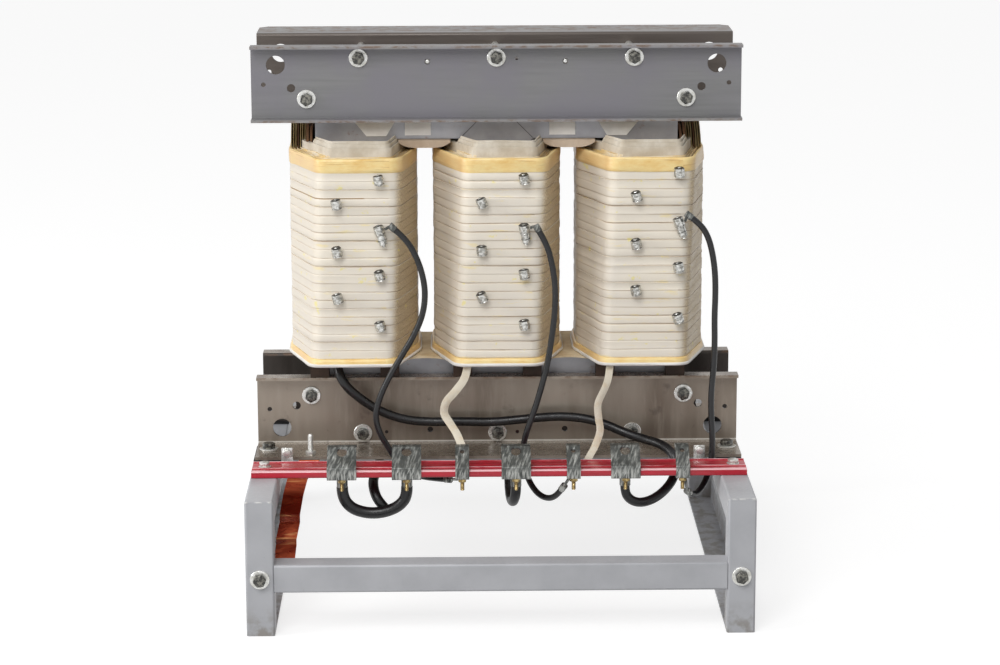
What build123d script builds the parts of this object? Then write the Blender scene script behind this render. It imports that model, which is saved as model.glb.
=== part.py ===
"""Dry type transformer: three wound coils on a mitred three-legged core, clamped in
folded steel channels and bolted to a square-tube stand with a terminal bar.
Millimetres, +Z up, +Y towards the rear, origin on the floor under the stand's centre."""
from build123d import *
import math
import os

# ---------------------------------------------------------------- driving dimensions
SIDES = (-1, 1)

STAND_WIDTH = 680.0          # over the legs, along X
STAND_DEPTH = 700.0          # over the legs, along Y
TUBE = 38.0                  # square tube of the stand
TUBE_WALL = 2.5
RAIL_TOP = 186.0             # upper face of the two top rails
BEAM_BOTTOM = 60.0           # underside of the two cross beams
TAB_THICKNESS = 4.0          # end tabs of the cross beams
TAB_REACH = 40.0
ANGLE_THICKNESS = 4.0        # floor angles between the legs
ANGLE_UPSTAND = 34.0

END_MARGIN = 2.0             # clamps and bar stop short of the stand's sides
CLAMP_LENGTH = STAND_WIDTH - 2 * END_MARGIN
CLAMP_SHEET = 4.0
CLAMP_BEND = 4.0             # outer radius of a folded edge
CLAMP_INNER = 65.0           # inner face of a clamp web, from the centre plane
WIDE_FLANGE = 84.0           # from the inner face of the web to the flange's edge
NARROW_FLANGE = 26.0
PAD_THICKNESS = 4.0          # rubber pads between the lower clamps and the rails
LOWER_BOTTOM = RAIL_TOP + PAD_THICKNESS
LOWER_TOP = 293.0
UPPER_BOTTOM = 653.0
UPPER_TOP = 758.0

LEG_PITCH = STAND_WIDTH / 3.4   # centre to centre of the core legs and coils
LEG_WIDTH = 0.51 * LEG_PITCH
CORE_END = LEG_PITCH + LEG_WIDTH / 2
ROUTE_SPAN = LEG_PITCH / 200.0  # the leads' routes are laid for coils 200 mm apart

# holes in a clamp web: distance from the centre, from the edge next to the coils, diameter
CORNER_HOLE = (CORE_END + 11.0, 30.0, 13.0)
MEDIUM_HOLE = (CORE_END + 32.0, 45.0, 11.5)
SMALL_HOLE = (CLAMP_LENGTH / 2 - 17.0, 50.0, 6.5)
LIFTING_HOLE = (CLAMP_LENGTH / 2 - 34.0, 77.0, 26.0)
TIE_HOLE_DROP = 85.0
TIE_PITCH = LEG_PITCH - 10.0
DOWEL_HOLE = (TIE_PITCH / 2, 81.0, 8.0)
PILOT_HOLE = (28.0, 85.0, 5.0)

CORE_HALF_DEPTH = 63.0
YOKE_TOP = 728.0
YOKE_BOTTOM = 216.0
INSULATION = CLAMP_INNER - CORE_HALF_DEPTH

COIL_BOTTOM = 321.0
RIM_TOP = 332.0
WINDING_TOP = 592.0
BAND_TOP = 609.0
TURNS = 22
COIL_HALF_WIDTH = LEG_PITCH / 2 - 11.0      # across the flanks, along X
COIL_HALF_DEPTH = CORE_HALF_DEPTH + 83.0    # to the front flat, along Y
FRONT_FLAT = COIL_HALF_WIDTH - 32.0         # half of the front flat
FLANK_FLAT = 45.0            # half of the flank
OUTER_BUILD = 18.0           # thickness of the outer winding
DUCT = 4.0                   # air duct between the windings
TURN_SWELL = 1.2             # how far each turn stands out of the groove beside it
STICK = 6.0
BOARD_REACH = 28.0           # half length of the upright duct boards
SUPPORT_X = 49.0             # coil supports, from the coil's centre
SUPPORT_WIDTH = 26.0
FRONT_CORNER = 9.0           # flat that blunts each front corner

# taps on the front of each coil: two columns, seven levels, one of them cabled
TAP_COLUMNS = (38.0, -20.0)
TAP_LEVELS = (584.0, 551.0, 515.0, 485.0, 452.0, 420.0, 381.0)
TAP_SHIFTS = {"left": (0.0, 0.0), "middle": (-2.0, 1.0), "right": (9.0, 9.0)}
CABLED_TAP = 2
TAP_REACH = 9.0              # the tap's bolt, in front of the winding

BAR_LENGTH = STAND_WIDTH - 2 * END_MARGIN
BAR_FRONT = -232.0
BAR_REAR = -177.0
BAR_THICKNESS = 9.0
BAR_RIB = 1.2
WIDE_LUG_WIDTH = 40.0
NARROW_LUG_WIDTH = 19.0
WIDE_LUG_X = tuple(ROUTE_SPAN * x for x in (-215.0, -126.5, 23.0, 172.5))
NARROW_LUG_X = tuple(ROUTE_SPAN * x for x in (-50.5, 101.5, 250.5))
LUG_SHEET = 3.0
STUD = 6.0
STUD_Y = -226.0
LUG_KNEE_Z = 200.0           # where a lug's front lip leans back
LUG_CREST_Z = 222.0          # its top flange
LUG_CREST_Y = -203.0
LUG_REAR_Y = -191.0
LUG_FOOT_Y = -208.0
CRIMP_Y = -211.0             # crimp barrels under the wide lugs
CRIMP_END = 168.0
CRIMP_RADIUS = 7.5

HOLD_DOWN_Y = 106.0          # vertical bolts of the lower clamps, from the centre plane
BAR_BOLT_Y = -203.5
BAR_BOLT = 8.0
BRACKET_X = (-STAND_WIDTH / 2 + 47.0, STAND_WIDTH / 2 - 61.0)
GROUND_STUD = 8.0
GROUND_STUD_X = -STAND_WIDTH / 2 + 79.0
GROUND_STUD_Y = -138.0

LEAD_RADIUS = 4.2
BUNDLE_RADIUS = 6.5
SLEEVE_RADIUS = 8.0
TAIL_RADIUS = 7.0
TUBE_CORNER = 3.0            # outer corner radius of the stand's tube
TAPE = 1.0                   # thickness of the woven tapes
STRAP = 1.6                  # thickness of the ground strap
STRAP_WIDTH = 28.0

M12 = 12.0
M12_HEAD = 19.0
M12_HEAD_HEIGHT = 7.5
WASHER = 26.0
WASHER_THICKNESS = 2.5

# ---------------------------------------------------------------- derived values
LEG_X = STAND_WIDTH / 2 - TUBE / 2
LEG_Y = STAND_DEPTH / 2 - TUBE / 2
RAIL_BOTTOM = RAIL_TOP - TUBE
CLAMP_OUTER = CLAMP_INNER + CLAMP_SHEET
FLANGE_EDGE = CLAMP_INNER + WIDE_FLANGE
LOWER_FLANGE_TOP = LOWER_BOTTOM + CLAMP_SHEET
LEG_FOOT = YOKE_BOTTOM + LEG_WIDTH
LEG_HEAD = YOKE_TOP - LEG_WIDTH
UPPER_TIE_Z = UPPER_BOTTOM + TIE_HOLE_DROP
LOWER_TIE_Z = LOWER_TOP - TIE_HOLE_DROP
WINDOW_X = LEG_WIDTH / 2 + 3.0
WINDOW_Y = CORE_HALF_DEPTH + 5.0
BAR_BOTTOM = RAIL_TOP
BAR_TOP = BAR_BOTTOM + BAR_THICKNESS
COIL_NAMES = {"left": -LEG_PITCH, "middle": 0.0, "right": LEG_PITCH}


# ---------------------------------------------------------------- small helpers
def block(x0, x1, y0, y1, z0, z1):
    """A box between two corners."""
    centre = Pos((x0 + x1) / 2, (y0 + y1) / 2, (z0 + z1) / 2)
    return centre * Box(abs(x1 - x0), abs(y1 - y0), abs(z1 - z0))


def rod_x(x0, x1, y, z, radius):
    """A round rod along X."""
    return Pos((x0 + x1) / 2, y, z) * Rot(0, 90, 0) * Cylinder(radius, abs(x1 - x0))


def rod_y(x, y0, y1, z, radius):
    """A round rod along Y."""
    return Pos(x, (y0 + y1) / 2, z) * Rot(90, 0, 0) * Cylinder(radius, abs(y1 - y0))


def rod_z(x, y, z0, z1, radius):
    """A round rod along Z."""
    return Pos(x, y, (z0 + z1) / 2) * Cylinder(radius, abs(z1 - z0))


def hexagon_z(x, y, z0, z1, across, turn=0.0):
    """A hexagonal prism along Z, sized across its flats."""
    outline = RegularPolygon(across / 2, 6, major_radius=False, rotation=turn)
    return Pos(x, y, z0) * extrude(outline, z1 - z0)


def hexagon_y(x, y0, y1, z, across, turn=0.0):
    """A hexagonal prism along Y, sized across its flats."""
    outline = Rot(90, 0, 0) * RegularPolygon(across / 2, 6, major_radius=False, rotation=turn)
    return Pos(x, y0, z) * extrude(outline, abs(y1 - y0), dir=(0, math.copysign(1, y1 - y0), 0))


def profile_x(points, x0, x1):
    """An outline drawn in the YZ plane, extruded from x0 to x1."""
    outline = make_face(Polyline([(0, y, z) for y, z in points], close=True))
    return Pos(x0, 0, 0) * extrude(outline, x1 - x0, dir=(1, 0, 0))


def profile_y(points, y0, y1):
    """An outline drawn in the XZ plane, extruded from y0 to y1."""
    outline = make_face(Polyline([(x, 0, z) for x, z in points], close=True))
    return Pos(0, y0, 0) * extrude(outline, y1 - y0, dir=(0, 1, 0))


def save(name, *solids):
    """Write one node: its solids stay separate inside one file."""
    shape = solids[0] if len(solids) == 1 else Compound(children=list(solids))
    export_step(shape, f"parts/{name}.step")


def one_solid(shape):
    """The only solid of a boolean's result."""
    solids = shape.solids()
    assert len(solids) == 1, len(solids)
    return solids[0]


# ---------------------------------------------------------------- stand
def leg(side_x, side_y):
    """A square-tube leg, mitred at the top where the rail meets it."""
    x0 = side_x * LEG_X - TUBE / 2
    outer = side_y * STAND_DEPTH / 2
    inner = side_y * (STAND_DEPTH / 2 - TUBE)
    wall = side_y * TUBE_WALL
    skin = profile_x([(outer, 0), (inner, 0), (inner, RAIL_BOTTOM), (outer, RAIL_TOP)], x0, x0 + TUBE)
    skin = fillet(skin.edges().filter_by(Axis.Z), TUBE_CORNER)
    bore = profile_x(
        [(outer - wall, -1), (inner + wall, -1), (inner + wall, RAIL_BOTTOM + TUBE_WALL),
         (outer - wall, RAIL_TOP - TUBE_WALL)],
        x0 + TUBE_WALL, x0 + TUBE - TUBE_WALL)
    bolt = rod_y(side_x * LEG_X, inner, outer, BEAM_BOTTOM + TUBE / 2, M12 / 2)
    return one_solid(skin - bore - bolt)


def rail(side_x):
    """A square-tube top rail with mitred ends; the pads and the bar sit on it."""
    x0 = side_x * LEG_X - TUBE / 2
    end = STAND_DEPTH / 2
    inset = end - TUBE
    wall = TUBE_WALL
    skin = profile_x([(-end, RAIL_TOP), (end, RAIL_TOP), (inset, RAIL_BOTTOM), (-inset, RAIL_BOTTOM)],
                     x0, x0 + TUBE)
    skin = fillet(skin.edges().filter_by(Axis.Y), TUBE_CORNER)
    bore = profile_x(
        [(-end + wall, RAIL_TOP - wall), (end - wall, RAIL_TOP - wall),
         (inset + wall, RAIL_BOTTOM + wall), (-inset - wall, RAIL_BOTTOM + wall)],
        x0 + wall, x0 + TUBE - wall)
    body = skin - bore
    for side_y in SIDES:
        body -= rod_z(side_x * LEG_X, side_y * HOLD_DOWN_Y, RAIL_TOP - 10, RAIL_TOP + 1, M12 / 2)
    body -= rod_z(side_x * LEG_X, BAR_BOLT_Y, RAIL_TOP - 10, RAIL_TOP + 1, BAR_BOLT / 2)
    return one_solid(body)


def floor_angle(side_x):
    """An angle section lying on the floor between a front and a rear leg."""
    outer = side_x * STAND_WIDTH / 2
    inner = outer - side_x * TUBE
    web = outer - side_x * ANGLE_THICKNESS
    reach = STAND_DEPTH / 2 - TUBE
    return profile_y(
        [(outer, 0), (inner, 0), (inner, ANGLE_THICKNESS), (web, ANGLE_THICKNESS),
         (web, ANGLE_UPSTAND), (outer, ANGLE_UPSTAND)], -reach, reach)


def cross_beam(side_y):
    """A square-tube beam between two legs, with a tab at each end behind the leg."""
    half = STAND_WIDTH / 2 - TUBE
    outer = side_y * STAND_DEPTH / 2
    inner = side_y * (STAND_DEPTH / 2 - TUBE)
    back = inner - side_y * TAB_THICKNESS
    wall = side_y * TUBE_WALL
    top = BEAM_BOTTOM + TUBE
    body = block(-half, half, inner, outer, BEAM_BOTTOM, top)
    body = fillet(body.edges().filter_by(Axis.X), TUBE_CORNER)
    body -= block(-half - 1, half + 1, inner + wall, outer - wall, BEAM_BOTTOM + TUBE_WALL,
                  top - TUBE_WALL)
    for side_x in SIDES:
        tab = block(side_x * (half - TAB_REACH), side_x * (half + TUBE - 2), back, inner,
                    BEAM_BOTTOM + TUBE_CORNER + 1, top - TUBE_CORNER - 1)
        tab = fillet(tab.edges().filter_by(Axis.Y), 4)
        tab -= rod_y(side_x * LEG_X, back - side_y, inner + side_y, BEAM_BOTTOM + TUBE / 2, M12 / 2)
        body += tab
    return one_solid(body)


def beam_bolt(side_x, side_y):
    """A bolt through a leg and a beam's tab: head and washer outside, nut inside."""
    z = BEAM_BOTTOM + TUBE / 2
    face = side_y * STAND_DEPTH / 2
    back = side_y * (STAND_DEPTH / 2 - TUBE - TAB_THICKNESS)
    head_seat = face + side_y * WASHER_THICKNESS
    nut_end = back - side_y * 10.0
    bolt = rod_y(side_x * LEG_X, nut_end - side_y * 3, head_seat, z, M12 / 2 - 0.2)
    bolt += rod_y(side_x * LEG_X, face, head_seat, z, WASHER / 2)
    bolt += hexagon_y(side_x * LEG_X, head_seat, head_seat + side_y * M12_HEAD_HEIGHT, z, M12_HEAD, 15)
    bolt += hexagon_y(side_x * LEG_X, back, nut_end, z, M12_HEAD)
    return one_solid(bolt)


# ---------------------------------------------------------------- clamps
def channel(bottom, top, bottom_flange, top_flange, side_y):
    """A folded sheet channel: a web against the core and two flanges pointing outwards."""
    web_in, web_out = CLAMP_INNER, CLAMP_INNER + CLAMP_SHEET
    points = [(web_in, bottom), (web_in + bottom_flange, bottom),
              (web_in + bottom_flange, bottom + CLAMP_SHEET), (web_out, bottom + CLAMP_SHEET),
              (web_out, top - CLAMP_SHEET), (web_in + top_flange, top - CLAMP_SHEET),
              (web_in + top_flange, top), (web_in, top)]
    body = profile_x([(side_y * y, z) for y, z in points], -CLAMP_LENGTH / 2, CLAMP_LENGTH / 2)
    folds = body.edges().filter_by(Axis.X).filter_by(
        lambda edge: abs(abs(edge.center().Y) - web_in) < 0.1)
    return fillet(folds, CLAMP_BEND)


def web_holes(inner_edge, away, side_y):
    """All holes of one clamp web; away is +1 where the web rises from its inner edge."""
    y0, y1 = side_y * (CLAMP_INNER - 1), side_y * (CLAMP_OUTER + 1)
    tools = []
    for x, drop, size in (CORNER_HOLE, MEDIUM_HOLE, SMALL_HOLE, LIFTING_HOLE, DOWEL_HOLE):
        tools += [rod_y(side * x, y0, y1, inner_edge + away * drop, size / 2) for side in SIDES]
    tools += [rod_y(k * TIE_PITCH, y0, y1, inner_edge + away * TIE_HOLE_DROP, M12 / 2 + 0.5)
              for k in (-1, 0, 1)]
    tools.append(rod_y(PILOT_HOLE[0], y0, y1, inner_edge + away * PILOT_HOLE[1], PILOT_HOLE[2] / 2))
    return tools


def lower_clamp(side_y):
    """A lower clamp: wide foot flange on the pads, narrow lip under the coils."""
    body = channel(LOWER_BOTTOM, LOWER_TOP, WIDE_FLANGE, NARROW_FLANGE, side_y)
    for tool in web_holes(LOWER_TOP, -1, side_y):
        body -= tool
    for side_x in SIDES:
        body -= rod_z(side_x * LEG_X, side_y * HOLD_DOWN_Y, LOWER_BOTTOM - 1, LOWER_FLANGE_TOP + 1,
                      M12 / 2)
    if side_y < 0:
        body -= rod_z(GROUND_STUD_X, GROUND_STUD_Y, LOWER_BOTTOM - 1, LOWER_FLANGE_TOP + 1,
                      GROUND_STUD / 2)
    return one_solid(body)


def upper_clamp(side_y):
    """An upper clamp: the front one has two narrow lips, the rear one a wide top flange."""
    top_flange = NARROW_FLANGE if side_y < 0 else WIDE_FLANGE
    body = channel(UPPER_BOTTOM, UPPER_TOP, NARROW_FLANGE, top_flange, side_y)
    if side_y > 0:
        corners = body.edges().filter_by(Axis.Z).filter_by(
            lambda edge: edge.center().Y > CLAMP_INNER + NARROW_FLANGE + 10)
        body = chamfer(corners, 12)
    for tool in web_holes(UPPER_BOTTOM, 1, side_y):
        body -= tool
    return one_solid(body)


def through_bolt(x, z):
    """A bolt through both clamp webs: washer and head in front, washer and nut behind."""
    face = CLAMP_OUTER
    seat = face + WASHER_THICKNESS
    body = rod_y(x, -seat, seat + 16, z, M12 / 2 - 0.2)
    for side_y in SIDES:
        body += rod_y(x, side_y * face, side_y * seat, z, WASHER / 2)
    body += hexagon_y(x, -seat - M12_HEAD_HEIGHT, -seat, z, M12_HEAD, x % 30)
    body += hexagon_y(x, seat, seat + 10, z, M12_HEAD)
    return one_solid(body)


def clamp_pad(side_x, side_y):
    """A rubber pad between a rail and a clamp's foot flange."""
    y_in, y_out = side_y * (CLAMP_INNER + CLAMP_BEND), side_y * FLANGE_EDGE
    body = block(side_x * LEG_X - TUBE / 2, side_x * LEG_X + TUBE / 2 - (side_x + 1) * 1.0,
                 y_in, y_out, RAIL_TOP, LOWER_BOTTOM)
    body -= rod_z(side_x * LEG_X, side_y * HOLD_DOWN_Y, RAIL_TOP - 1, LOWER_BOTTOM + 1, M12 / 2)
    return one_solid(body)


def hold_down_bolt(side_x, side_y):
    """A vertical bolt through the flange and the pad into the rail."""
    x, y = side_x * LEG_X, side_y * HOLD_DOWN_Y
    seat = LOWER_FLANGE_TOP + WASHER_THICKNESS
    body = rod_z(x, y, RAIL_TOP - TUBE_WALL - 14, seat, M12 / 2 - 0.2)
    body += rod_z(x, y, LOWER_FLANGE_TOP, seat, WASHER / 2)
    body += hexagon_z(x, y, seat, seat + M12_HEAD_HEIGHT, M12_HEAD, 10)
    body += hexagon_z(x, y, RAIL_TOP - TUBE_WALL - 10, RAIL_TOP - TUBE_WALL, M12_HEAD)
    return one_solid(body)


# ---------------------------------------------------------------- core
def core_plate(points):
    """A stack of laminations cut to one outline in the XZ plane."""
    return profile_y(points, -CORE_HALF_DEPTH, CORE_HALF_DEPTH)


def outer_leg(side_x):
    """An outer core leg with a mitre at each end."""
    out, inn = side_x * CORE_END, side_x * (CORE_END - LEG_WIDTH)
    return core_plate([(out, YOKE_BOTTOM), (inn, LEG_FOOT), (inn, LEG_HEAD), (out, YOKE_TOP)])


def middle_leg():
    """The middle core leg, pointed at both ends."""
    half = LEG_WIDTH / 2
    return core_plate([(-half, LEG_FOOT), (0, LEG_FOOT - half), (half, LEG_FOOT),
                       (half, LEG_HEAD), (0, LEG_HEAD + half), (-half, LEG_HEAD)])


def yoke(outer_z, inner_z):
    """A yoke between the mitres, notched for the middle leg."""
    half = LEG_WIDTH / 2
    inner = CORE_END - LEG_WIDTH
    notch = inner_z + math.copysign(half, outer_z - inner_z)
    return core_plate([(-CORE_END, outer_z), (-inner, inner_z), (-half, inner_z), (0, notch),
                       (half, inner_z), (inner, inner_z), (CORE_END, outer_z)])


def yoke_strip(side_y, z0, z1):
    """A pressboard strip between a clamp web and the yoke."""
    y0, y1 = side_y * CORE_HALF_DEPTH, side_y * CLAMP_INNER
    return block(-CORE_END + 4, CORE_END - 4, y0, y1, z0, z1)


def yoke_block(side_x, side_y):
    """A pale block hanging under the upper clamp on the face of the yoke."""
    x = side_x * LEG_PITCH / 2 - 9
    y0, y1 = side_y * CORE_HALF_DEPTH, side_y * CLAMP_INNER
    return block(x - 18, x + 18, y0, y1, LEG_HEAD + 5, UPPER_BOTTOM + 6)


def paper_wedge(side_x, side_y):
    """A pale paper wedge, narrower at the bottom, beside each outer leg's mitre."""
    y0, y1 = sorted((side_y * CORE_HALF_DEPTH, side_y * CLAMP_INNER))
    z0, z1 = LEG_HEAD + 4, UPPER_BOTTOM + 6
    joint = CORE_END - LEG_WIDTH
    points = [(joint + 4, z0), (joint + 31, z0), (joint + 55, z1), (joint - 14, z1)]
    return profile_y([(side_x * x, z) for x, z in points], y0, y1)


def upper_saddle(side_x):
    """A thin sheet bowed under the upper yoke between two coils."""
    half = LEG_PITCH / 2 - LEG_WIDTH / 2 - 18
    x = side_x * LEG_PITCH / 2
    sag, sheet, reach = 6.0, 1.5, WINDOW_Y + 8
    top = LEG_HEAD - 0.1
    outer = ThreePointArc((x - half, 0, top), (x, 0, top - sag), (x + half, 0, top))
    inner = ThreePointArc((x + half, 0, top - sheet), (x, 0, top - sag - sheet),
                          (x - half, 0, top - sheet))
    edges = [outer, Line(outer @ 1, inner @ 0), inner, Line(inner @ 1, outer @ 0)]
    return Pos(0, -reach, 0) * extrude(make_face(edges), 2 * reach, dir=(0, 1, 0))


def lower_saddle(side_x):
    """A pressboard sheet on the lower yoke between two legs, hollowed at both ends."""
    x = side_x * LEG_PITCH / 2
    half = LEG_PITCH / 2 - SUPPORT_X - SUPPORT_WIDTH / 2 - 1.0
    reach, hollow = WINDOW_Y + 42.0, 30.0
    body = block(x - half, x + half, -reach, reach, LEG_FOOT, COIL_BOTTOM - 0.4)
    for side_y in SIDES:
        radius = (half ** 2 + hollow ** 2) / (2 * hollow)
        centre_y = side_y * (reach + radius - hollow)
        body -= rod_z(x, centre_y, LEG_FOOT - 1, COIL_BOTTOM + 1, radius)
    return one_solid(body)


def coil_support(x, side_y):
    """A pressboard block carrying a coil on the lower clamp's lip."""
    half = SUPPORT_WIDTH / 2
    return block(x - half, x + half, side_y * (CLAMP_INNER + 1.0), side_y * (CLAMP_INNER + NARROW_FLANGE - 3),
                 LOWER_TOP, COIL_BOTTOM)


# ---------------------------------------------------------------- coils
def coil_outline(inset):
    """The long octagon of a coil seen from above, moved inwards by inset."""
    side = COIL_HALF_WIDTH - inset
    front = COIL_HALF_DEPTH - inset
    slant = math.atan2(COIL_HALF_DEPTH - FLANK_FLAT, COIL_HALF_WIDTH - FRONT_FLAT)
    flat = FRONT_FLAT - inset * math.tan(slant / 2)
    flank = FLANK_FLAT - inset * math.tan(math.pi / 4 - slant / 2)
    corners = [(flat, -front), (side, -flank), (side, flank), (flat, front),
               (-flat, front), (-side, flank), (-side, -flank), (-flat, -front)]
    face = make_face(Polyline([(x, y, 0) for x, y in corners], close=True))
    sharp = face.vertices().filter_by(lambda vertex: abs(vertex.Y) > front - 1)
    return chamfer(sharp, FRONT_CORNER - inset / 3)


def coil_ring(outer_inset, inner_inset, z0, z1):
    """A ring of octagon plan between two heights."""
    ring = extrude(coil_outline(outer_inset), z1 - z0) - extrude(coil_outline(inner_inset), z1 - z0)
    return Pos(0, 0, z0) * ring


def outer_winding():
    """The outer winding: one swelling ridge for each turn, hollow for the inner winding."""
    pitch = (WINDING_TOP - RIM_TOP) / TURNS
    groove, crest = coil_outline(TURN_SWELL), coil_outline(0)
    sections = [Pos(0, 0, RIM_TOP) * groove]
    for turn in range(TURNS):
        z = RIM_TOP + turn * pitch
        sections.append(Pos(0, 0, z + pitch / 2) * crest)
        sections.append(Pos(0, 0, z + pitch) * groove)
    body = loft([section.face() for section in sections], ruled=True)
    hole = Pos(0, 0, RIM_TOP - 1) * extrude(coil_outline(OUTER_BUILD), WINDING_TOP - RIM_TOP + 2)
    return one_solid(body - hole)


def top_band():
    """The tape collar bound over the top of the outer winding."""
    return one_solid(coil_ring(-0.5, OUTER_BUILD - 3, WINDING_TOP, BAND_TOP))


def bottom_rim():
    """The flared collar under the outer winding."""
    plate = coil_ring(-5, OUTER_BUILD, COIL_BOTTOM, COIL_BOTTOM + 4)
    band = coil_ring(-2, OUTER_BUILD, COIL_BOTTOM + 4, RIM_TOP)
    return one_solid(plate + band)


def inner_winding():
    """The inner winding round the core leg: stepped layers with air ducts and their sticks."""
    inset = OUTER_BUILD + DUCT
    body = Pos(0, 0, COIL_BOTTOM) * extrude(coil_outline(inset), BAND_TOP + 4 - COIL_BOTTOM)
    layer_edges = (WINDOW_Y + 38, WINDOW_Y + 18)
    for level, edge in enumerate(layer_edges):
        rise = BAND_TOP + 9 + 5 * level
        body += block(-FRONT_FLAT + 14, FRONT_FLAT - 14, -edge, edge, BAND_TOP, rise)
    body -= block(-WINDOW_X, WINDOW_X, -WINDOW_Y, WINDOW_Y, COIL_BOTTOM - 1, YOKE_TOP)
    for side_y in SIDES:
        for edge in layer_edges:
            body -= block(-FRONT_FLAT + 16, FRONT_FLAT - 16, side_y * (edge - 1), side_y * (edge - 6),
                          COIL_BOTTOM - 1, YOKE_TOP)
            for x in (-26, 0, 26):
                body += block(x - STICK / 2, x + STICK / 2, side_y * (edge - 1), side_y * (edge - 6),
                              COIL_BOTTOM, BAND_TOP + 6)
        for x in (-30, 0, 30):
            gap0, gap1 = COIL_HALF_DEPTH - inset, COIL_HALF_DEPTH - OUTER_BUILD
            body += block(x - STICK / 2, x + STICK / 2, side_y * gap0, side_y * gap1, COIL_BOTTOM,
                          BAND_TOP + 4)
    for side_x in SIDES:
        for y in (-30, 0, 30):
            gap0, gap1 = COIL_HALF_WIDTH - inset, COIL_HALF_WIDTH - OUTER_BUILD
            body += block(side_x * gap0, side_x * gap1, y - STICK / 2, y + STICK / 2, COIL_BOTTOM,
                          BAND_TOP + 8)
    return one_solid(body)


def end_boards(side, places, thickness, z):
    """Upright duct boards on the outer flank of an outer coil, reaching up beside the yoke's end."""
    return [block(side * (CORE_END - LEG_PITCH + place), side * (CORE_END - LEG_PITCH + place + thickness),
                  -BOARD_REACH, BOARD_REACH, z, UPPER_BOTTOM - 5) for place in places]


def tap_terminal(x, z, cabled):
    """A tap: a tab out of the winding's front with a bolt through it, leaning forwards."""
    y = -COIL_HALF_DEPTH
    reach = 17.0
    tab = block(x - 7, x + 7, y - reach, y + 2, z - 1, z + 1)
    bolt = hexagon_z(0, 0, 1, 7, 13.0, 12) + rod_z(0, 0, -8, 1, 6.0) + rod_z(0, 0, 7, 9, 4.0)
    if cabled:
        bolt += hexagon_z(0, 0, -16, -8, 13.0) + rod_z(0, 0, -23, -16, 3.6)
    bolt = Pos(x, y - TAP_REACH, z) * bolt
    return one_solid(tab + bolt)


def taps(coil, winding):
    """The seven taps of one coil in two columns, each tab trimmed to the winding's turns."""
    shift_x, shift_z = TAP_SHIFTS[coil]
    return [one_solid(tap_terminal(TAP_COLUMNS[k % 2] + shift_x, z + shift_z, k == CABLED_TAP) - winding)
            for k, z in enumerate(TAP_LEVELS)]


# ---------------------------------------------------------------- terminal bar
def terminal_bar():
    """A pultruded insulating bar with three fine ribs along its top."""
    ribs = (BAR_FRONT + 1.5, BAR_FRONT + 17.0, BAR_REAR - 4.0)
    half = BAR_LENGTH / 2
    body = block(-half, half, BAR_FRONT, BAR_REAR, BAR_BOTTOM, BAR_TOP)
    body = chamfer(body.edges().filter_by(Axis.X), 0.8)
    for y in ribs:
        body += block(-half, half, y, y + 2.2, BAR_TOP - 0.5, BAR_TOP + BAR_RIB)
    for x in WIDE_LUG_X + NARROW_LUG_X:
        body -= rod_z(x, STUD_Y, BAR_BOTTOM - 1, BAR_TOP + 2, STUD / 2)
        body -= rod_z(x, STUD_Y, BAR_TOP, BAR_TOP + 2, 6.2)
    for side_x in SIDES:
        body -= rod_z(side_x * LEG_X, BAR_BOLT_Y, BAR_BOTTOM - 1, BAR_TOP + 2, BAR_BOLT / 2)
    return one_solid(body)


def lug(x, width, hole):
    """A terminal folded from tinned strip: foot under the bar, front lip, leaning pad, top flange."""
    front = BAR_FRONT - LUG_SHEET
    back = front + LUG_SHEET
    low = BAR_BOTTOM - LUG_SHEET
    points = [(LUG_FOOT_Y, low), (front, low), (front, LUG_KNEE_Z), (LUG_CREST_Y, LUG_CREST_Z),
              (LUG_REAR_Y, LUG_CREST_Z), (LUG_REAR_Y, LUG_CREST_Z - LUG_SHEET),
              (LUG_CREST_Y + 1, LUG_CREST_Z - LUG_SHEET), (back, LUG_KNEE_Z - 1.6),
              (back, BAR_BOTTOM), (LUG_FOOT_Y, BAR_BOTTOM)]
    body = profile_x(points, x - width / 2, x + width / 2)
    outer = body.edges().filter_by(Axis.X).filter_by(
        lambda edge: edge.center().Y < front + 0.1 or edge.center().Z > LUG_CREST_Z - 0.1)
    bends = outer.filter_by(lambda edge: edge.center().Y < LUG_REAR_Y - 1)
    body = fillet(bends, 2.0)
    body -= rod_z(x, LUG_CREST_Y - 7, LUG_KNEE_Z, LUG_CREST_Z + 1, hole / 2)
    body -= rod_z(x, STUD_Y, low - 1, BAR_BOTTOM + 1, STUD / 2)
    return one_solid(body)


def stud_bolt(x):
    """A brass bolt down through the bar and a lug's foot, with its nut underneath."""
    low = BAR_BOTTOM - LUG_SHEET
    body = rod_z(x, STUD_Y, low - 17, BAR_TOP, STUD / 2 - 0.1)
    body += hexagon_z(x, STUD_Y, BAR_TOP, BAR_TOP + 3.4, 10.0)
    body += hexagon_z(x, STUD_Y, low - 5, low, 10.0)
    return one_solid(body)


def bar_bolt(side_x):
    """A bolt holding one end of the bar down to a rail."""
    x = side_x * LEG_X
    body = rod_z(x, BAR_BOLT_Y, RAIL_TOP - TUBE_WALL - 8, BAR_TOP, BAR_BOLT / 2 - 0.1)
    body += rod_z(x, BAR_BOLT_Y, BAR_TOP, BAR_TOP + 1.6, 8.5)
    body += hexagon_z(x, BAR_BOLT_Y, BAR_TOP + 1.6, BAR_TOP + 7, 13.0)
    body += hexagon_z(x, BAR_BOLT_Y, RAIL_TOP - TUBE_WALL - 6, RAIL_TOP - TUBE_WALL, 13.0)
    return one_solid(body)


def edge_bracket(x):
    """A small plate on the edge of the front flange with a bolt facing forwards."""
    face = -FLANGE_EDGE
    plate = block(x - 8, x + 8, face - 3, face, LOWER_BOTTOM - 3, LOWER_FLANGE_TOP + 14)
    plate += rod_y(x, face - 4.5, face - 3, LOWER_FLANGE_TOP + 7, 7.0)
    plate += hexagon_y(x, face - 9.5, face - 4.5, LOWER_FLANGE_TOP + 7, 11.0, 8)
    return one_solid(plate)


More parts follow.
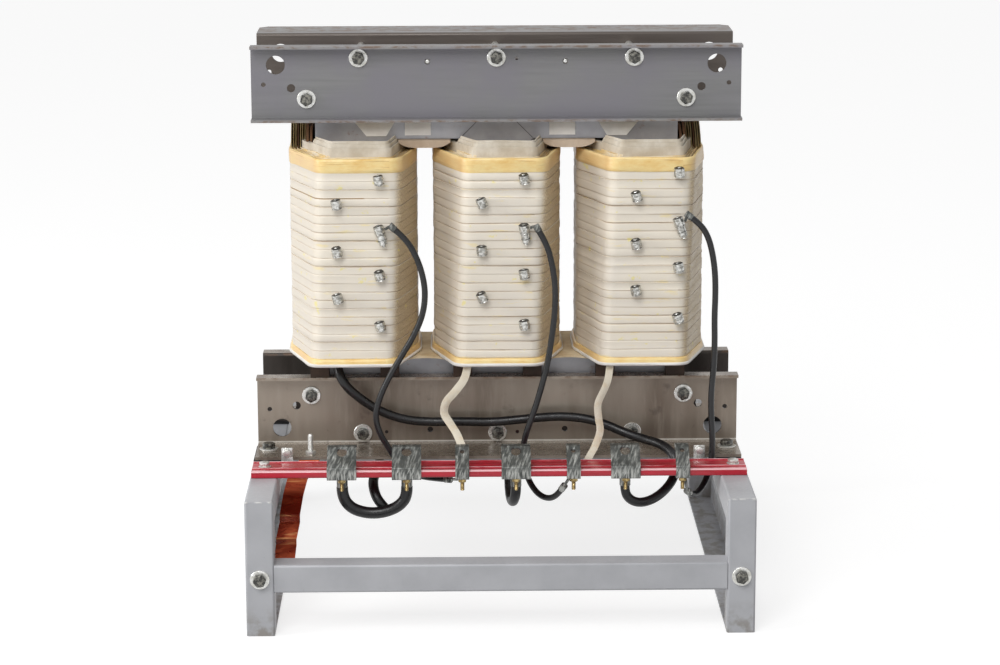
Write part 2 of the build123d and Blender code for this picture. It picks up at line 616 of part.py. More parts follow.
def ground_stud():
    """The stud that holds the ground strap under the front flange."""
    x, y = GROUND_STUD_X, GROUND_STUD_Y
    low = LOWER_BOTTOM - STRAP
    body = rod_z(x, y, low - 12, LOWER_FLANGE_TOP + 30, GROUND_STUD / 2 - 0.1)
    body += hexagon_z(x, y, low - 7, low, 13.0)
    body += hexagon_z(x, y, LOWER_FLANGE_TOP, LOWER_FLANGE_TOP + 6, 13.0)
    return one_solid(body)


# ---------------------------------------------------------------- strips and cords
def ribbon_down(points, width, thickness):
    """A flat tape through points from top to bottom, its width along X."""
    sections = [Pos(*point) * Rectangle(width, thickness) for point in points]
    return one_solid(loft([section.face() for section in sections], ruled=True))


def ribbon_forward(points, width, thickness):
    """A flat strap through points from rear to front, its width along X."""
    sections = [Pos(*point) * Rot(90, 0, 0) * Rectangle(width, thickness) for point in points]
    return one_solid(loft([section.face() for section in sections], ruled=True))


def corner_radii(points):
    """At each corner, the largest arc that its two runs leave room for."""
    radii = []
    for before, here, after in zip(points, points[1:], points[2:]):
        run_in, run_out = Vector(*here) - Vector(*before), Vector(*after) - Vector(*here)
        turn = math.radians(run_in.get_angle(run_out))
        radii.append(0.45 * min(run_in.length, run_out.length) / math.tan(turn / 2))
    return radii


def stretched(points):
    """A hand-laid route, stretched along X with the pitch of the coils."""
    return [(ROUTE_SPAN * x, y, z) for x, y, z in points]


def cord(name, points, radius):
    """A round cord of straight runs and tangent arcs through a route."""
    radii = corner_radii(points)
    path = FilletPolyline(*points, radius=radii)
    section = Plane(origin=path @ 0, z_dir=path % 0) * Circle(radius)
    body = one_solid(sweep(section, path=path))
    ideal = math.pi * radius ** 2 * path.length
    print(f"{name}: length {path.length:.0f}, least radius {min(radii):.0f}, "
          f"volume ratio {body.volume / ideal:.4f}")
    return body


def rod_between(start, end, radius):
    """A round rod from one point to another."""
    start, end = Vector(*start), Vector(*end)
    plane = Plane(origin=start, z_dir=end - start)
    return extrude(plane * Circle(radius), (end - start).length)


def cord_lug(point, neighbour, target):
    """A crimp barrel on a cord's end, with a tongue reaching to its bolt."""
    point, neighbour = Vector(*point), Vector(*neighbour)
    away = (point - neighbour).normalized()
    end = point + away * 10
    barrel = rod_between(point, end, LEAD_RADIUS + 0.6)
    return one_solid(barrel + rod_between(end - away * 2, target, 2.0))


def crimp_barrel(x):
    """The crimp barrel hanging under a wide lug."""
    return rod_z(x, CRIMP_Y, CRIMP_END, BAR_BOTTOM - LUG_SHEET, CRIMP_RADIUS)


LEFT_LEAD = [
    (-140, -166, 517), (-127, -168, 506), (-114, -168, 486), (-104, -169, 460), (-99, -168, 430),
    (-103, -169, 398), (-117, -168, 367), (-135, -169, 338), (-152, -170, 309), (-165, -170, 280),
    (-170, -168, 254), (-164, -165, 231), (-154, -163, 213), (-143, -163, 195), (-130, -168, 181),
    (-112, -181, 175), (-92, -195, 175), (-74, -208, 177)]
MIDDLE_LEAD = [
    (56, -166, 514), (66, -168, 497), (73, -168, 473), (78, -169, 441), (78, -168, 406),
    (74, -169, 370), (68, -170, 332), (59, -170, 296), (49, -169, 262), (39, -166, 234),
    (34, -163, 212), (34, -163, 191), (38, -168, 173), (46, -178, 157), (57, -189, 147),
    (69, -200, 146), (79, -209, 153), (85, -215, 163)]
RIGHT_LEAD = [
    (264, -164, 531), (277, -164, 521), (287, -164, 504), (293, -163, 482), (297, -162, 455),
    (298, -161, 424), (297, -160, 391), (298, -159, 356), (297, -158, 320), (294, -158, 287),
    (294, -160, 256), (296, -162, 226), (296, -163, 201), (293, -166, 180), (286, -174, 163),
    (277, -186, 152), (268, -197, 149), (262, -206, 155)]
LV_BUNDLE = [
    (-224, -96, 321), (-224, -96, 311), (-219, -104, 296), (-209, -105, 281), (-194, -101, 267),
    (-176, -95, 252),
    (-155, -91, 240), (-127, -90, 231), (-94, -89, 228), (-52, -90, 229), (-8, -89, 227),
    (40, -90, 232), (86, -91, 236), (124, -93, 233), (152, -98, 225), (178, -107, 215),
    (203, -119, 209), (225, -136, 207), (241, -158, 200), (246, -168, 184), (242, -177, 167),
    (229, -188, 153), (213, -198, 144), (197, -206, 141), (184, -210, 144), (175, -211, 152),
    (172.5, -211, 162), (172.5, -211, 168)]
X0_X1_SLEEVE = [
    (-215, -211, 168), (-215, -211, 154), (-204, -210, 138), (-187, -209, 131), (-169, -209, 129.5),
    (-151, -209, 133), (-136, -210, 141), (-126.5, -211, 154), (-126.5, -211, 168)]
X1_TAIL = [
    (-156, -193.4, 131), (-166, -193.4, 142), (-172, -186, 154), (-174, -173, 164), (-172, -156, 170),
    (-170, -135, 174), (-166, -112, 175), (-165, -90, 177), (-165, -69, 180.5), (-163, -53, 190),
    (-162, -46, 204), (-162, -46, 216)]
X2_TAIL = [
    (23, -211, 168), (23, -211, 156), (20, -203, 144), (18, -188, 139), (16, -172, 143),
    (15, -157, 154), (15, -139, 166), (16, -116, 173), (17, -91, 176), (18, -69, 180.5),
    (19, -53, 191), (20, -46, 204), (20, -46, 216)]
H1_TAPE = [
    (-42, -139, 321), (-47, -145, 303), (-60, -150, 286), (-72, -151, 272), (-75, -151, 256),
    (-67, -157, 243), (-58, -172, 232), (-51, -190.4, 219.5)]
H2_TAPE = [
    (155, -139, 321), (152, -147, 303), (147, -150, 289), (138, -150, 268), (139, -150, 247),
    (141, -151, 229), (134, -156, 209), (126, -168, 198), (120, -176.4, 189)]
# the ground strap from its stud: sideways, share of the way to the beam's tab, height
GROUND_STRAP = [
    (0, -0.094, 189.2), (-1, 0.05, 189.2), (-9, 0.083, 180), (-18, 0.118, 165), (-23, 0.235, 148),
    (-27, 0.376, 126), (-26, 0.494, 121), (-30, 0.629, 104), (-29, 0.73, 101), (-30, 0.894, 90),
    (-29, 1.0, 86)]


def ground_strap():
    """The folded strap from the stud under the flange to the back of the front beam's tab."""
    end_y = -(STAND_DEPTH / 2 - TUBE - TAB_THICKNESS) + 0.1
    route = [(GROUND_STUD_X + aside, GROUND_STUD_Y + share * (end_y - GROUND_STUD_Y), z)
             for aside, share, z in GROUND_STRAP]
    hole = rod_z(GROUND_STUD_X, GROUND_STUD_Y, LOWER_BOTTOM - 5, LOWER_BOTTOM + 1, GROUND_STUD / 2)
    return one_solid(ribbon_forward(route, STRAP_WIDTH, STRAP) - hole)


# ---------------------------------------------------------------- assembly
def write_stand():
    """Write the stand's tubes, angles, beams and bolts."""
    for row, side_y in (("front", -1), ("rear", 1)):
        for side, side_x in (("left", -1), ("right", 1)):
            save(f"{row}_{side}_leg", leg(side_x, side_y))
        save(f"{row}_cross_beam", cross_beam(side_y))
    for side, side_x in (("left", -1), ("right", 1)):
        save(f"{side}_top_rail", rail(side_x))
        save(f"{side}_floor_angle", floor_angle(side_x))
    save("beam_bolts", *[beam_bolt(a, b) for a in SIDES for b in SIDES])


def write_clamps():
    """Write the four clamps with their bolts and pads."""
    for row, side_y in (("front", -1), ("rear", 1)):
        save(f"lower_{row}_clamp", lower_clamp(side_y))
        save(f"upper_{row}_clamp", upper_clamp(side_y))
    upper, lower = [], []
    for x in (-TIE_PITCH, 0.0, TIE_PITCH):
        upper.append(through_bolt(x, UPPER_TIE_Z))
        lower.append(through_bolt(x, LOWER_TIE_Z))
    for side_x in SIDES:
        upper.append(through_bolt(side_x * CORNER_HOLE[0], UPPER_BOTTOM + CORNER_HOLE[1]))
        lower.append(through_bolt(side_x * CORNER_HOLE[0], LOWER_TOP - CORNER_HOLE[1]))
    save("upper_clamp_bolts", *upper)
    save("lower_clamp_bolts", *lower)
    save("clamp_pads", *[clamp_pad(a, b) for a in SIDES for b in SIDES])
    save("hold_down_bolts", *[hold_down_bolt(a, b) for a in SIDES for b in SIDES], ground_stud())


def write_core():
    """Write the core legs, the yokes and the sheets and blocks around them."""
    save("left_core_leg", outer_leg(-1))
    save("middle_core_leg", middle_leg())
    save("right_core_leg", outer_leg(1))
    save("upper_yoke", yoke(YOKE_TOP, LEG_HEAD))
    save("lower_yoke", yoke(YOKE_BOTTOM, LEG_FOOT))
    strips = [yoke_strip(side, UPPER_BOTTOM + 6, YOKE_TOP) for side in SIDES]
    strips += [yoke_strip(side, YOKE_BOTTOM, LOWER_TOP - 4) for side in SIDES]
    save("yoke_strips", *strips)
    pieces = [yoke_block(a, b) for a in SIDES for b in SIDES]
    pieces += [paper_wedge(a, b) for a in SIDES for b in SIDES]
    save("yoke_wedges", *pieces)
    save("upper_saddles", *[upper_saddle(side) for side in SIDES])
    save("lower_saddles", *[lower_saddle(side) for side in SIDES])
    supports = [coil_support(centre + offset, side_y) for centre in COIL_NAMES.values()
                for offset in (-SUPPORT_X, SUPPORT_X) for side_y in SIDES]
    save("coil_supports", *supports)


def write_coils():
    """Write the windings, collars and taps of the three coils."""
    inner, outer, band, rim = inner_winding(), outer_winding(), top_band(), bottom_rim()
    for coil, x in COIL_NAMES.items():
        place = Pos(x, 0, 0)
        side = round(x / LEG_PITCH)
        boards, fins = [], []
        if side:
            boards = end_boards(side, (7.0,), 8.0, BAND_TOP + 4)
            fins = end_boards(side, (24.0, 29.0, 34.0), 1.8, BAND_TOP)
        save(f"{coil}_inner_winding", place * inner, *[place * board for board in boards])
        save(f"{coil}_outer_winding", place * outer)
        save(f"{coil}_top_band", place * band, *[place * fin for fin in fins])
        save(f"{coil}_bottom_rim", place * rim)
        save(f"{coil}_taps", *[place * tap for tap in taps(coil, outer + band)])


def write_terminals():
    """Write the terminal bar with its lugs, bolts, brackets and crimp barrels."""
    save("terminal_bar", terminal_bar())
    save("wide_lugs", *[lug(x, WIDE_LUG_WIDTH, 14.0) for x in WIDE_LUG_X])
    save("narrow_lugs", *[lug(x, NARROW_LUG_WIDTH, 6.5) for x in NARROW_LUG_X])
    save("stud_bolts", *[stud_bolt(x) for x in WIDE_LUG_X + NARROW_LUG_X])
    save("bar_fasteners", *[bar_bolt(side) for side in SIDES], *[edge_bracket(x) for x in BRACKET_X])


def write_leads():
    """Write the leads, sleeves, tapes and the ground strap with their crimp lugs."""
    lugs = [crimp_barrel(x) for x in WIDE_LUG_X]
    nut_z = BAR_BOTTOM - LUG_SHEET - 2.5
    leads = {"left": LEFT_LEAD, "middle": MIDDLE_LEAD, "right": RIGHT_LEAD}
    for (coil, laid), stud_x in zip(leads.items(), NARROW_LUG_X):
        route = stretched(laid)
        save(f"{coil}_lead", cord(f"{coil}_lead", route, LEAD_RADIUS))
        shift_x, shift_z = TAP_SHIFTS[coil]
        tap = (COIL_NAMES[coil] + TAP_COLUMNS[0] + shift_x + 8.8, -COIL_HALF_DEPTH - TAP_REACH - 2,
               TAP_LEVELS[CABLED_TAP] + shift_z + 1.5)
        lugs.append(cord_lug(route[0], route[1], tap))
        end = Vector(*route[-1])
        nut = Vector(stud_x, STUD_Y, nut_z)
        beside = Vector(end.X - nut.X, end.Y - nut.Y, 0).normalized()
        target = nut + beside * 7.7
        lugs.append(cord_lug(route[-1], route[-2], tuple(target)))
    save("crimp_lugs", *lugs)
    save("lv_bundle", cord("lv_bundle", stretched(LV_BUNDLE), BUNDLE_RADIUS))
    save("x0_x1_sleeve", cord("x0_x1_sleeve", stretched(X0_X1_SLEEVE), SLEEVE_RADIUS))
    save("x1_tail", cord("x1_tail", stretched(X1_TAIL), TAIL_RADIUS))
    save("x2_tail", cord("x2_tail", stretched(X2_TAIL), TAIL_RADIUS))
    save("h1_tape", ribbon_down(stretched(H1_TAPE), 11.0, TAPE))
    save("h2_tape", ribbon_down(stretched(H2_TAPE), 9.0, TAPE))
    save("ground_strap", ground_strap())


os.makedirs("parts", exist_ok=True)
write_stand()
write_clamps()
write_core()
write_coils()
write_terminals()
write_leads()
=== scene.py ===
"""Dresses a dry type transformer: three paper-wound coils on a laminated core, held in
folded steel clamps on a square-tube stand, with taps, leads and a terminal bar.
Lengths are in metres, +X along the row of coils, +Y towards the rear, +Z up."""
import math

import bmesh
import bpy
from bpy.props import FloatProperty, FloatVectorProperty, IntProperty, PointerProperty
from bpy.types import Operator, Panel, PropertyGroup
from mathutils import Matrix, Vector, noise


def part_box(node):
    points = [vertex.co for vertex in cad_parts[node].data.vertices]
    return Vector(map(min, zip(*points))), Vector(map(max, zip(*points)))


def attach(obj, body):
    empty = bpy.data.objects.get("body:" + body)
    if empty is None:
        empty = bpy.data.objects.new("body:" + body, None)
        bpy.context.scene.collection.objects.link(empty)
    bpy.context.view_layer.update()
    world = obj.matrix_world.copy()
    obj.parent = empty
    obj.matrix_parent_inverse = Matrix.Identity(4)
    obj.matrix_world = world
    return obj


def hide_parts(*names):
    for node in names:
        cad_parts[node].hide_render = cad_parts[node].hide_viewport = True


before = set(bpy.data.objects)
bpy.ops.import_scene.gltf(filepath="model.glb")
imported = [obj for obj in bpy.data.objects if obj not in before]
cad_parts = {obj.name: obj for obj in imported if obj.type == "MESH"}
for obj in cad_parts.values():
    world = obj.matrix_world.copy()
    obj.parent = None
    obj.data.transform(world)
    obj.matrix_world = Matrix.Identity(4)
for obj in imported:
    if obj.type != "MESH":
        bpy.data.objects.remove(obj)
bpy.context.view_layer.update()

bl_info = {
    "name": "Dry Type Transformer",
    "version": (1, 0, 0),
    "blender": (4, 5, 0),
    "location": "3D View > Sidebar > Transformer",
    "description": "Winds the coils, sets the taps and fasteners and lays the leads of a transformer",
    "category": "Add Mesh",
}

BODY = "root"
MM = 0.001
COILS = ("left", "middle", "right")
SIDES = (-1, 1)


def tone(red, green, blue):
    """A screen colour, 0 to 255, as a linear one."""
    linear = []
    for value in (red / 255, green / 255, blue / 255):
        linear.append(value / 12.92 if value <= 0.04045 else ((value + 0.055) / 1.055) ** 2.4)
    return (*linear, 1.0)


# ---------------------------------------------------------------- settings
class CoilSettings(PropertyGroup):
    """The windings and their paper."""
    turns: IntProperty(name="Turns", description="Paper-covered turns up the outer winding",
                       default=22, min=4, max=60)
    groove: FloatProperty(name="Groove", description="Depth of the groove between two turns",
                          default=0.0011, min=0.0, max=0.004, subtype="DISTANCE", unit="LENGTH")
    waviness: FloatProperty(name="Waviness", description="How far a turn strays from level",
                            default=0.0007, min=0.0, max=0.003, subtype="DISTANCE", unit="LENGTH")
    paper: FloatVectorProperty(name="Paper", description="Colour of the winding's paper",
                               default=tone(238, 229, 213), size=4, min=0.0, max=1.0, subtype="COLOR")
    tape: FloatVectorProperty(name="Tape", description="Colour of the varnished tape collars",
                              default=tone(240, 203, 130), size=4, min=0.0, max=1.0, subtype="COLOR")


class FastenerSettings(PropertyGroup):
    """Sizes of the bolts that hold the clamps and the stand."""
    across_flats: FloatProperty(name="Across flats", description="Width of a bolt head",
                                default=0.0158, min=0.01, max=0.03, subtype="DISTANCE", unit="LENGTH")
    washer: FloatProperty(name="Washer", description="Outside diameter of a washer",
                          default=0.026, min=0.015, max=0.04, subtype="DISTANCE", unit="LENGTH")
    washer_sheet: FloatProperty(name="Washer sheet", description="Thickness of a washer",
                                default=0.0025, min=0.001, max=0.004, subtype="DISTANCE", unit="LENGTH")
    head_height: FloatProperty(name="Head height", description="Height of a bolt head",
                               default=0.0075, min=0.004, max=0.012, subtype="DISTANCE", unit="LENGTH")
    tap_width: FloatProperty(name="Tap width", description="Width across the flats of a tap's nut",
                             default=0.013, min=0.008, max=0.02, subtype="DISTANCE", unit="LENGTH")


class LeadSettings(PropertyGroup):
    """Thickness of the cables and the colour of their jacket."""
    lead: FloatProperty(name="Lead", description="Diameter of a tap lead",
                        default=0.0084, min=0.004, max=0.012, subtype="DISTANCE", unit="LENGTH")
    bundle: FloatProperty(name="Bundle", description="Diameter of the bundle along the lower clamp",
                          default=0.013, min=0.006, max=0.02, subtype="DISTANCE", unit="LENGTH")
    sleeve: FloatProperty(name="Sleeve", description="Diameter of the sleeve joining two lugs",
                          default=0.016, min=0.006, max=0.02, subtype="DISTANCE", unit="LENGTH")
    tail: FloatProperty(name="Tail", description="Diameter of the tails up to the coils",
                        default=0.014, min=0.006, max=0.02, subtype="DISTANCE", unit="LENGTH")
    jacket: FloatVectorProperty(name="Jacket", description="Colour of the cable jacket",
                                default=tone(18, 18, 20), size=4, min=0.0, max=1.0, subtype="COLOR")


class StageSettings(PropertyGroup):
    """Light and ground."""
    sky: FloatProperty(name="Sky", description="Strength of the even light from all round",
                       default=0.66, min=0.0, max=2.0)
    key: FloatProperty(name="Key light", description="Power of the large soft light in front",
                       default=88.0, min=0.0, max=2000.0, unit="POWER")
    side: FloatProperty(name="Side light", description="Power of the soft light on the left",
                        default=52.0, min=0.0, max=2000.0, unit="POWER")
    floor: FloatVectorProperty(name="Floor", description="Colour of the floor",
                               default=(0.42, 0.42, 0.42, 1.0), size=4, min=0.0, max=1.0, subtype="COLOR")


# ---------------------------------------------------------------- finishes
class Finish:
    """One procedural finish, put together from short calls."""

    def __init__(self, name, **constants):
        self.material = bpy.data.materials.new(name)
        self.material.use_nodes = True
        self.nodes = self.material.node_tree.nodes
        self.links = self.material.node_tree.links
        self.shader = self.nodes["Principled BSDF"]
        for socket, value in constants.items():
            self.shader.inputs[socket.replace("_", " ")].default_value = value
        self.coords = self.node("ShaderNodeTexCoord").outputs["Object"]
        self.x, self.y, self.z = self.split(self.coords)

    def feed(self, socket, value):
        if isinstance(value, bpy.types.NodeSocket):
            self.links.new(value, socket)
        else:
            socket.default_value = value

    def node(self, kind, **settings):
        node = self.nodes.new(kind)
        for key, value in settings.items():
            setattr(node, key, value)
        return node

    def split(self, vector):
        node = self.node("ShaderNodeSeparateXYZ")
        self.feed(node.inputs[0], vector)
        return node.outputs

    def join(self, x=0.0, y=0.0, z=0.0):
        node = self.node("ShaderNodeCombineXYZ")
        for socket, value in zip(node.inputs, (x, y, z)):
            self.feed(socket, value)
        return node.outputs[0]

    def uv(self):
        node = self.node("ShaderNodeUVMap", uv_map="UVMap")
        return self.split(node.outputs[0])

    def facing(self):
        """The outward direction of the surface, as three values."""
        return self.split(self.node("ShaderNodeNewGeometry").outputs["Normal"])

    def scaled(self, x, y, z, vector=None):
        node = self.node("ShaderNodeMapping")
        self.feed(node.inputs["Vector"], self.coords if vector is None else vector)
        node.inputs["Scale"].default_value = (x, y, z)
        return node.outputs[0]

    def noise(self, scale, detail=3.0, roughness=0.55, vector=None, distortion=0.0):
        node = self.node("ShaderNodeTexNoise")
        self.feed(node.inputs["Vector"], self.coords if vector is None else vector)
        node.inputs["Scale"].default_value = scale
        node.inputs["Detail"].default_value = detail
        node.inputs["Roughness"].default_value = roughness
        node.inputs["Distortion"].default_value = distortion
        return node.outputs["Fac"]

    def ramp(self, value, low, high, start=0.0, end=1.0):
        """Smooth change from start to end as the value goes from low to high."""
        node = self.node("ShaderNodeMapRange", interpolation_type="SMOOTHSTEP")
        self.feed(node.inputs["Value"], value)
        for key, number in (("From Min", low), ("From Max", high), ("To Min", start), ("To Max", end)):
            self.feed(node.inputs[key], number)
        return node.outputs["Result"]

    def math(self, operation, first, second=0.0):
        node = self.node("ShaderNodeMath", operation=operation)
        for socket, value in zip(node.inputs, (first, second)):
            self.feed(socket, value)
        return node.outputs[0]

    def product(self, *values):
        result = values[0]
        for value in values[1:]:
            result = self.math("MULTIPLY", result, value)
        return result

    def mix(self, factor, first, second):
        node = self.node("ShaderNodeMix", data_type="RGBA")
        self.feed(node.inputs["Factor"], factor)
        self.feed(node.inputs[6], first)
        self.feed(node.inputs[7], second)
        return node.outputs[2]

    def band(self, value, centre, half, soft):
        """One inside a band of values, fading out over a soft margin."""
        away = self.math("ABSOLUTE", self.math("SUBTRACT", value, centre))
        return self.ramp(away, half, half + soft, 1.0, 0.0)

    def colour(self, value):
        self.feed(self.shader.inputs["Base Color"], value)

    def rough(self, value):
        self.feed(self.shader.inputs["Roughness"], value)

    def bump(self, height, distance, strength=1.0):
        node = self.node("ShaderNodeBump")
        node.inputs["Strength"].default_value = strength
        node.inputs["Distance"].default_value = distance
        self.feed(node.inputs["Height"], height)
        self.links.new(node.outputs[0], self.shader.inputs["Normal"])


def stand_paint():
    """Light grey paint over welded tube: faint mottling, weld beads painted pale as a highlight, and
    scuffed corners.
    """
    look = Finish("stand_paint", Roughness=0.42)
    cloud = look.noise(14, 4)
    grain = look.noise(260, 2)
    base = look.mix(look.ramp(cloud, 0.3, 0.7), tone(172, 173, 177), tone(184, 185, 189))
    low = look.product(look.ramp(look.z, 0.05, 0.0), look.ramp(look.noise(55, 5), 0.42, 0.62))
    base = look.mix(low, base, tone(146, 142, 138))
    mitre = look.math("ADD", look.math("ABSOLUTE", look.y), look.math("MULTIPLY", look.z, -1.0))
    # weld beads at the mitres: their bump is real, their pale colour is a painted highlight
    weld = look.band(mitre, 0.164, 0.0012, 0.0018)
    weld = look.product(weld, look.ramp(look.z, 0.14, 0.15), look.ramp(look.noise(120, 4), 0.40, 0.60))
    base = look.mix(look.product(weld, 0.8), base, tone(222, 222, 220))
    chips = look.ramp(look.noise(90, 6, 0.7), 0.70, 0.74)
    base = look.mix(look.product(chips, 0.5), base, tone(118, 116, 114))
    look.colour(base)
    look.rough(look.ramp(grain, 0.3, 0.7, 0.34, 0.5))
    look.bump(look.math("ADD", look.product(grain, 0.3), look.product(weld, 1.5)), 0.0006, 0.5)
    return look.material


def upper_clamp_steel():
    """Grey mill steel: brushed along its length, with rust-brown worn edges, lips painted paler as a
    highlight and painted shade on the inner faces.
    """
    look = Finish("upper_clamp_steel", Metallic=0.35, Roughness=0.45)
    brushed = look.noise(30, 4, 0.6, look.scaled(0.25, 3.0, 6.0))
    cloud = look.noise(9, 3)
    base = look.mix(look.ramp(brushed, 0.3, 0.7), tone(122, 122, 122), tone(132, 132, 132))
    base = look.mix(look.ramp(cloud, 0.35, 0.7), base, tone(126, 124, 130))
    lip = look.math("ABSOLUTE", look.math("SUBTRACT", look.z, 0.7055))
    lip = look.ramp(lip, 0.0475, 0.0515)
    rust = look.ramp(look.noise(60, 5, 0.65, look.scaled(1.0, 1.0, 2.0)), 0.42, 0.62)
    outer = look.ramp(look.math("ABSOLUTE", look.y), 0.073, 0.09)
    # painted highlight: the lips are painted paler than the web
    base = look.mix(look.product(lip, 0.35), base, tone(170, 166, 162))
    base = look.mix(look.product(lip, rust, outer, 0.8), base, tone(112, 88, 70))
    # painted shade: the inner faces that look onto the core, and into the holes, are darkened
    inside = look.ramp(look.math("ABSOLUTE", look.y), 0.0686, 0.0680)
    base = look.mix(look.product(inside, 0.85), base, tone(88, 78, 70))
    look.colour(base)
    look.rough(look.ramp(brushed, 0.3, 0.7, 0.36, 0.52))
    look.bump(look.noise(420, 2, 0.5, look.scaled(0.3, 1.0, 1.5)), 0.0002, 0.5)
    return look.material


def lower_clamp_steel():
    """Bare brownish steel with upright bands of tone, darker towards its foot, a painted highlight along
    the fold, painted shade on the inner faces and in one hole.
    """
    look = Finish("lower_clamp_steel", Metallic=0.55, Roughness=0.38)
    bands = look.noise(16, 3, 0.5, look.scaled(1.0, 1.0, 0.12))
    fine = look.noise(95, 3, 0.6, look.scaled(1.0, 1.0, 0.15))
    _, _, up = look.facing()
    base = look.mix(look.ramp(bands, 0.32, 0.68), tone(122, 110, 98), tone(156, 146, 134))
    base = look.mix(look.product(look.ramp(fine, 0.45, 0.75), 0.5), base, tone(166, 156, 144))
    foot = look.product(look.ramp(look.z, 0.235, 0.20), look.ramp(up, 0.5, 0.2))
    base = look.mix(look.product(foot, 0.3), base, tone(98, 88, 80))
    # painted highlight: a pale line along the web's foot where it folds into the flange
    fold = look.product(look.band(look.z, 0.1955, 0.0007, 0.0008),
                        look.ramp(look.math("ABSOLUTE", look.y), 0.074, 0.072))
    base = look.mix(look.product(fold, 0.9), base, tone(224, 221, 214))
    # painted shade: the inner faces that look onto the core, and into the holes, are darkened
    inside = look.ramp(look.math("ABSOLUTE", look.y), 0.0686, 0.0680)
    base = look.mix(look.product(inside, 0.92), base, tone(46, 41, 39))
    # painted shade: a dark disc drawn over a small hole stands for its dark inside
    away = look.math("SQRT", look.math("ADD", look.math("POWER", look.math("ADD", look.x, 0.1567), 2.0),
                                       look.math("POWER", look.math("SUBTRACT", look.z, 0.209), 2.0)))
    base = look.mix(look.ramp(away, 0.0026, 0.0022), base, tone(44, 38, 36))
    top = look.ramp(look.z, 0.288, 0.2925)
    rust = look.ramp(look.noise(70, 5, 0.6), 0.42, 0.6)
    base = look.mix(look.product(top, rust, 0.6), base, tone(104, 78, 58))
    blotch = look.ramp(look.noise(28, 5, 0.6), 0.60, 0.72)
    base = look.mix(look.product(blotch, 0.5), base, tone(82, 72, 66))
    look.colour(base)
    look.rough(look.math("ADD", look.ramp(fine, 0.3, 0.7, 0.34, 0.48), look.ramp(up, 0.5, 0.9, 0.0, -0.14)))
    look.bump(fine, 0.0002, 0.5)
    return look.material


def zinc():
    """Bright zinc plate with a faint yellow cast and dull patches."""
    look = Finish("zinc", Metallic=0.7, Roughness=0.34)
    patch = look.noise(160, 4, 0.6)
    base = look.mix(look.ramp(patch, 0.35, 0.65), tone(232, 232, 230), tone(202, 201, 194))
    dull = look.ramp(look.noise(420, 3), 0.58, 0.76)
    base = look.mix(look.product(dull, 0.4), base, tone(150, 148, 142))
    look.colour(base)
    look.rough(look.ramp(patch, 0.3, 0.7, 0.22, 0.42))
    look.bump(dull, 0.0001, 0.4)
    return look.material


def dark_head():
    """Dull bolt heads, dark grey with some plating left."""
    look = Finish("dark_head", Metallic=0.8, Roughness=0.38)
    patch = look.noise(260, 4, 0.65)
    base = look.mix(look.ramp(patch, 0.42, 0.66), tone(70, 70, 68), tone(138, 136, 128))
    look.colour(base)
    look.rough(look.ramp(patch, 0.3, 0.7, 0.24, 0.46))
    look.bump(patch, 0.0001, 0.4)
    return look.material


def tinned():
    """Tinned copper strip: dull silver with dark slanting brush strokes."""
    look = Finish("tinned", Metallic=0.6, Roughness=0.42)
    slant = look.math("ADD", look.x, look.math("MULTIPLY", look.z, -0.45))
    along = look.math("ADD", look.product(look.x, 0.10), look.product(look.z, 0.16))
    strokes = look.noise(330, 3, 0.6, look.join(slant, look.product(look.y, 0.2), along))
    patch = look.noise(60, 3, 0.6)
    base = look.mix(look.ramp(strokes, 0.42, 0.66), tone(84, 86, 84), tone(150, 152, 148))
    base = look.mix(look.product(look.ramp(patch, 0.48, 0.66), 0.65), base, tone(64, 67, 64))
    # the lower part paler in streaks: partly wear, partly a painted highlight on the curved foot
    low = look.ramp(look.z, 0.200, 0.192)
    worn = look.noise(420, 3, 0.6, look.scaled(1.0, 0.2, 0.12))
    base = look.mix(look.product(low, look.ramp(worn, 0.44, 0.62), 0.75), base, tone(196, 197, 192))
    edge = look.ramp(strokes, 0.64, 0.72)
    base = look.mix(look.product(edge, 0.7), base, tone(216, 217, 212))
    look.colour(base)
    look.rough(look.ramp(strokes, 0.3, 0.7, 0.36, 0.56))
    look.bump(strokes, 0.0003, 0.6)
    return look.material


def tap_metal():
    """Bright plated nuts, with painted shade on their upward faces."""
    look = Finish("tap_metal", Metallic=0.85, Roughness=0.26)
    _, _, up = look.facing()
    patch = look.noise(300, 3, 0.6)
    base = look.mix(look.ramp(patch, 0.35, 0.65), tone(222, 222, 218), tone(150, 149, 143))
    # painted shade: faces that look up are darkened
    base = look.mix(look.product(look.ramp(up, 0.55, 0.85), 0.85), base, tone(58, 57, 54))
    look.colour(base)
    look.rough(look.ramp(patch, 0.3, 0.7, 0.2, 0.4))
    look.bump(patch, 0.00015, 0.4)
    return look.material


def tap_top_shade():
    """A dark disc on top of a tap's nut: painted shade on its top face."""
    look = Finish("tap_top_shade", Metallic=0.3, Roughness=0.5)
    patch = look.noise(300, 3, 0.6)
    look.colour(look.mix(look.ramp(patch, 0.35, 0.65), tone(34, 33, 32), tone(66, 64, 60)))
    return look.material


def rubber():
    """Matt black rubber, slightly dusty."""
    look = Finish("rubber", Roughness=0.8)
    dust = look.ramp(look.noise(120, 5, 0.6), 0.45, 0.75)
    look.colour(look.mix(look.product(dust, 0.35), tone(28, 28, 29), tone(92, 90, 88)))
    look.bump(look.noise(700, 2), 0.0003, 0.5)
    return look.material


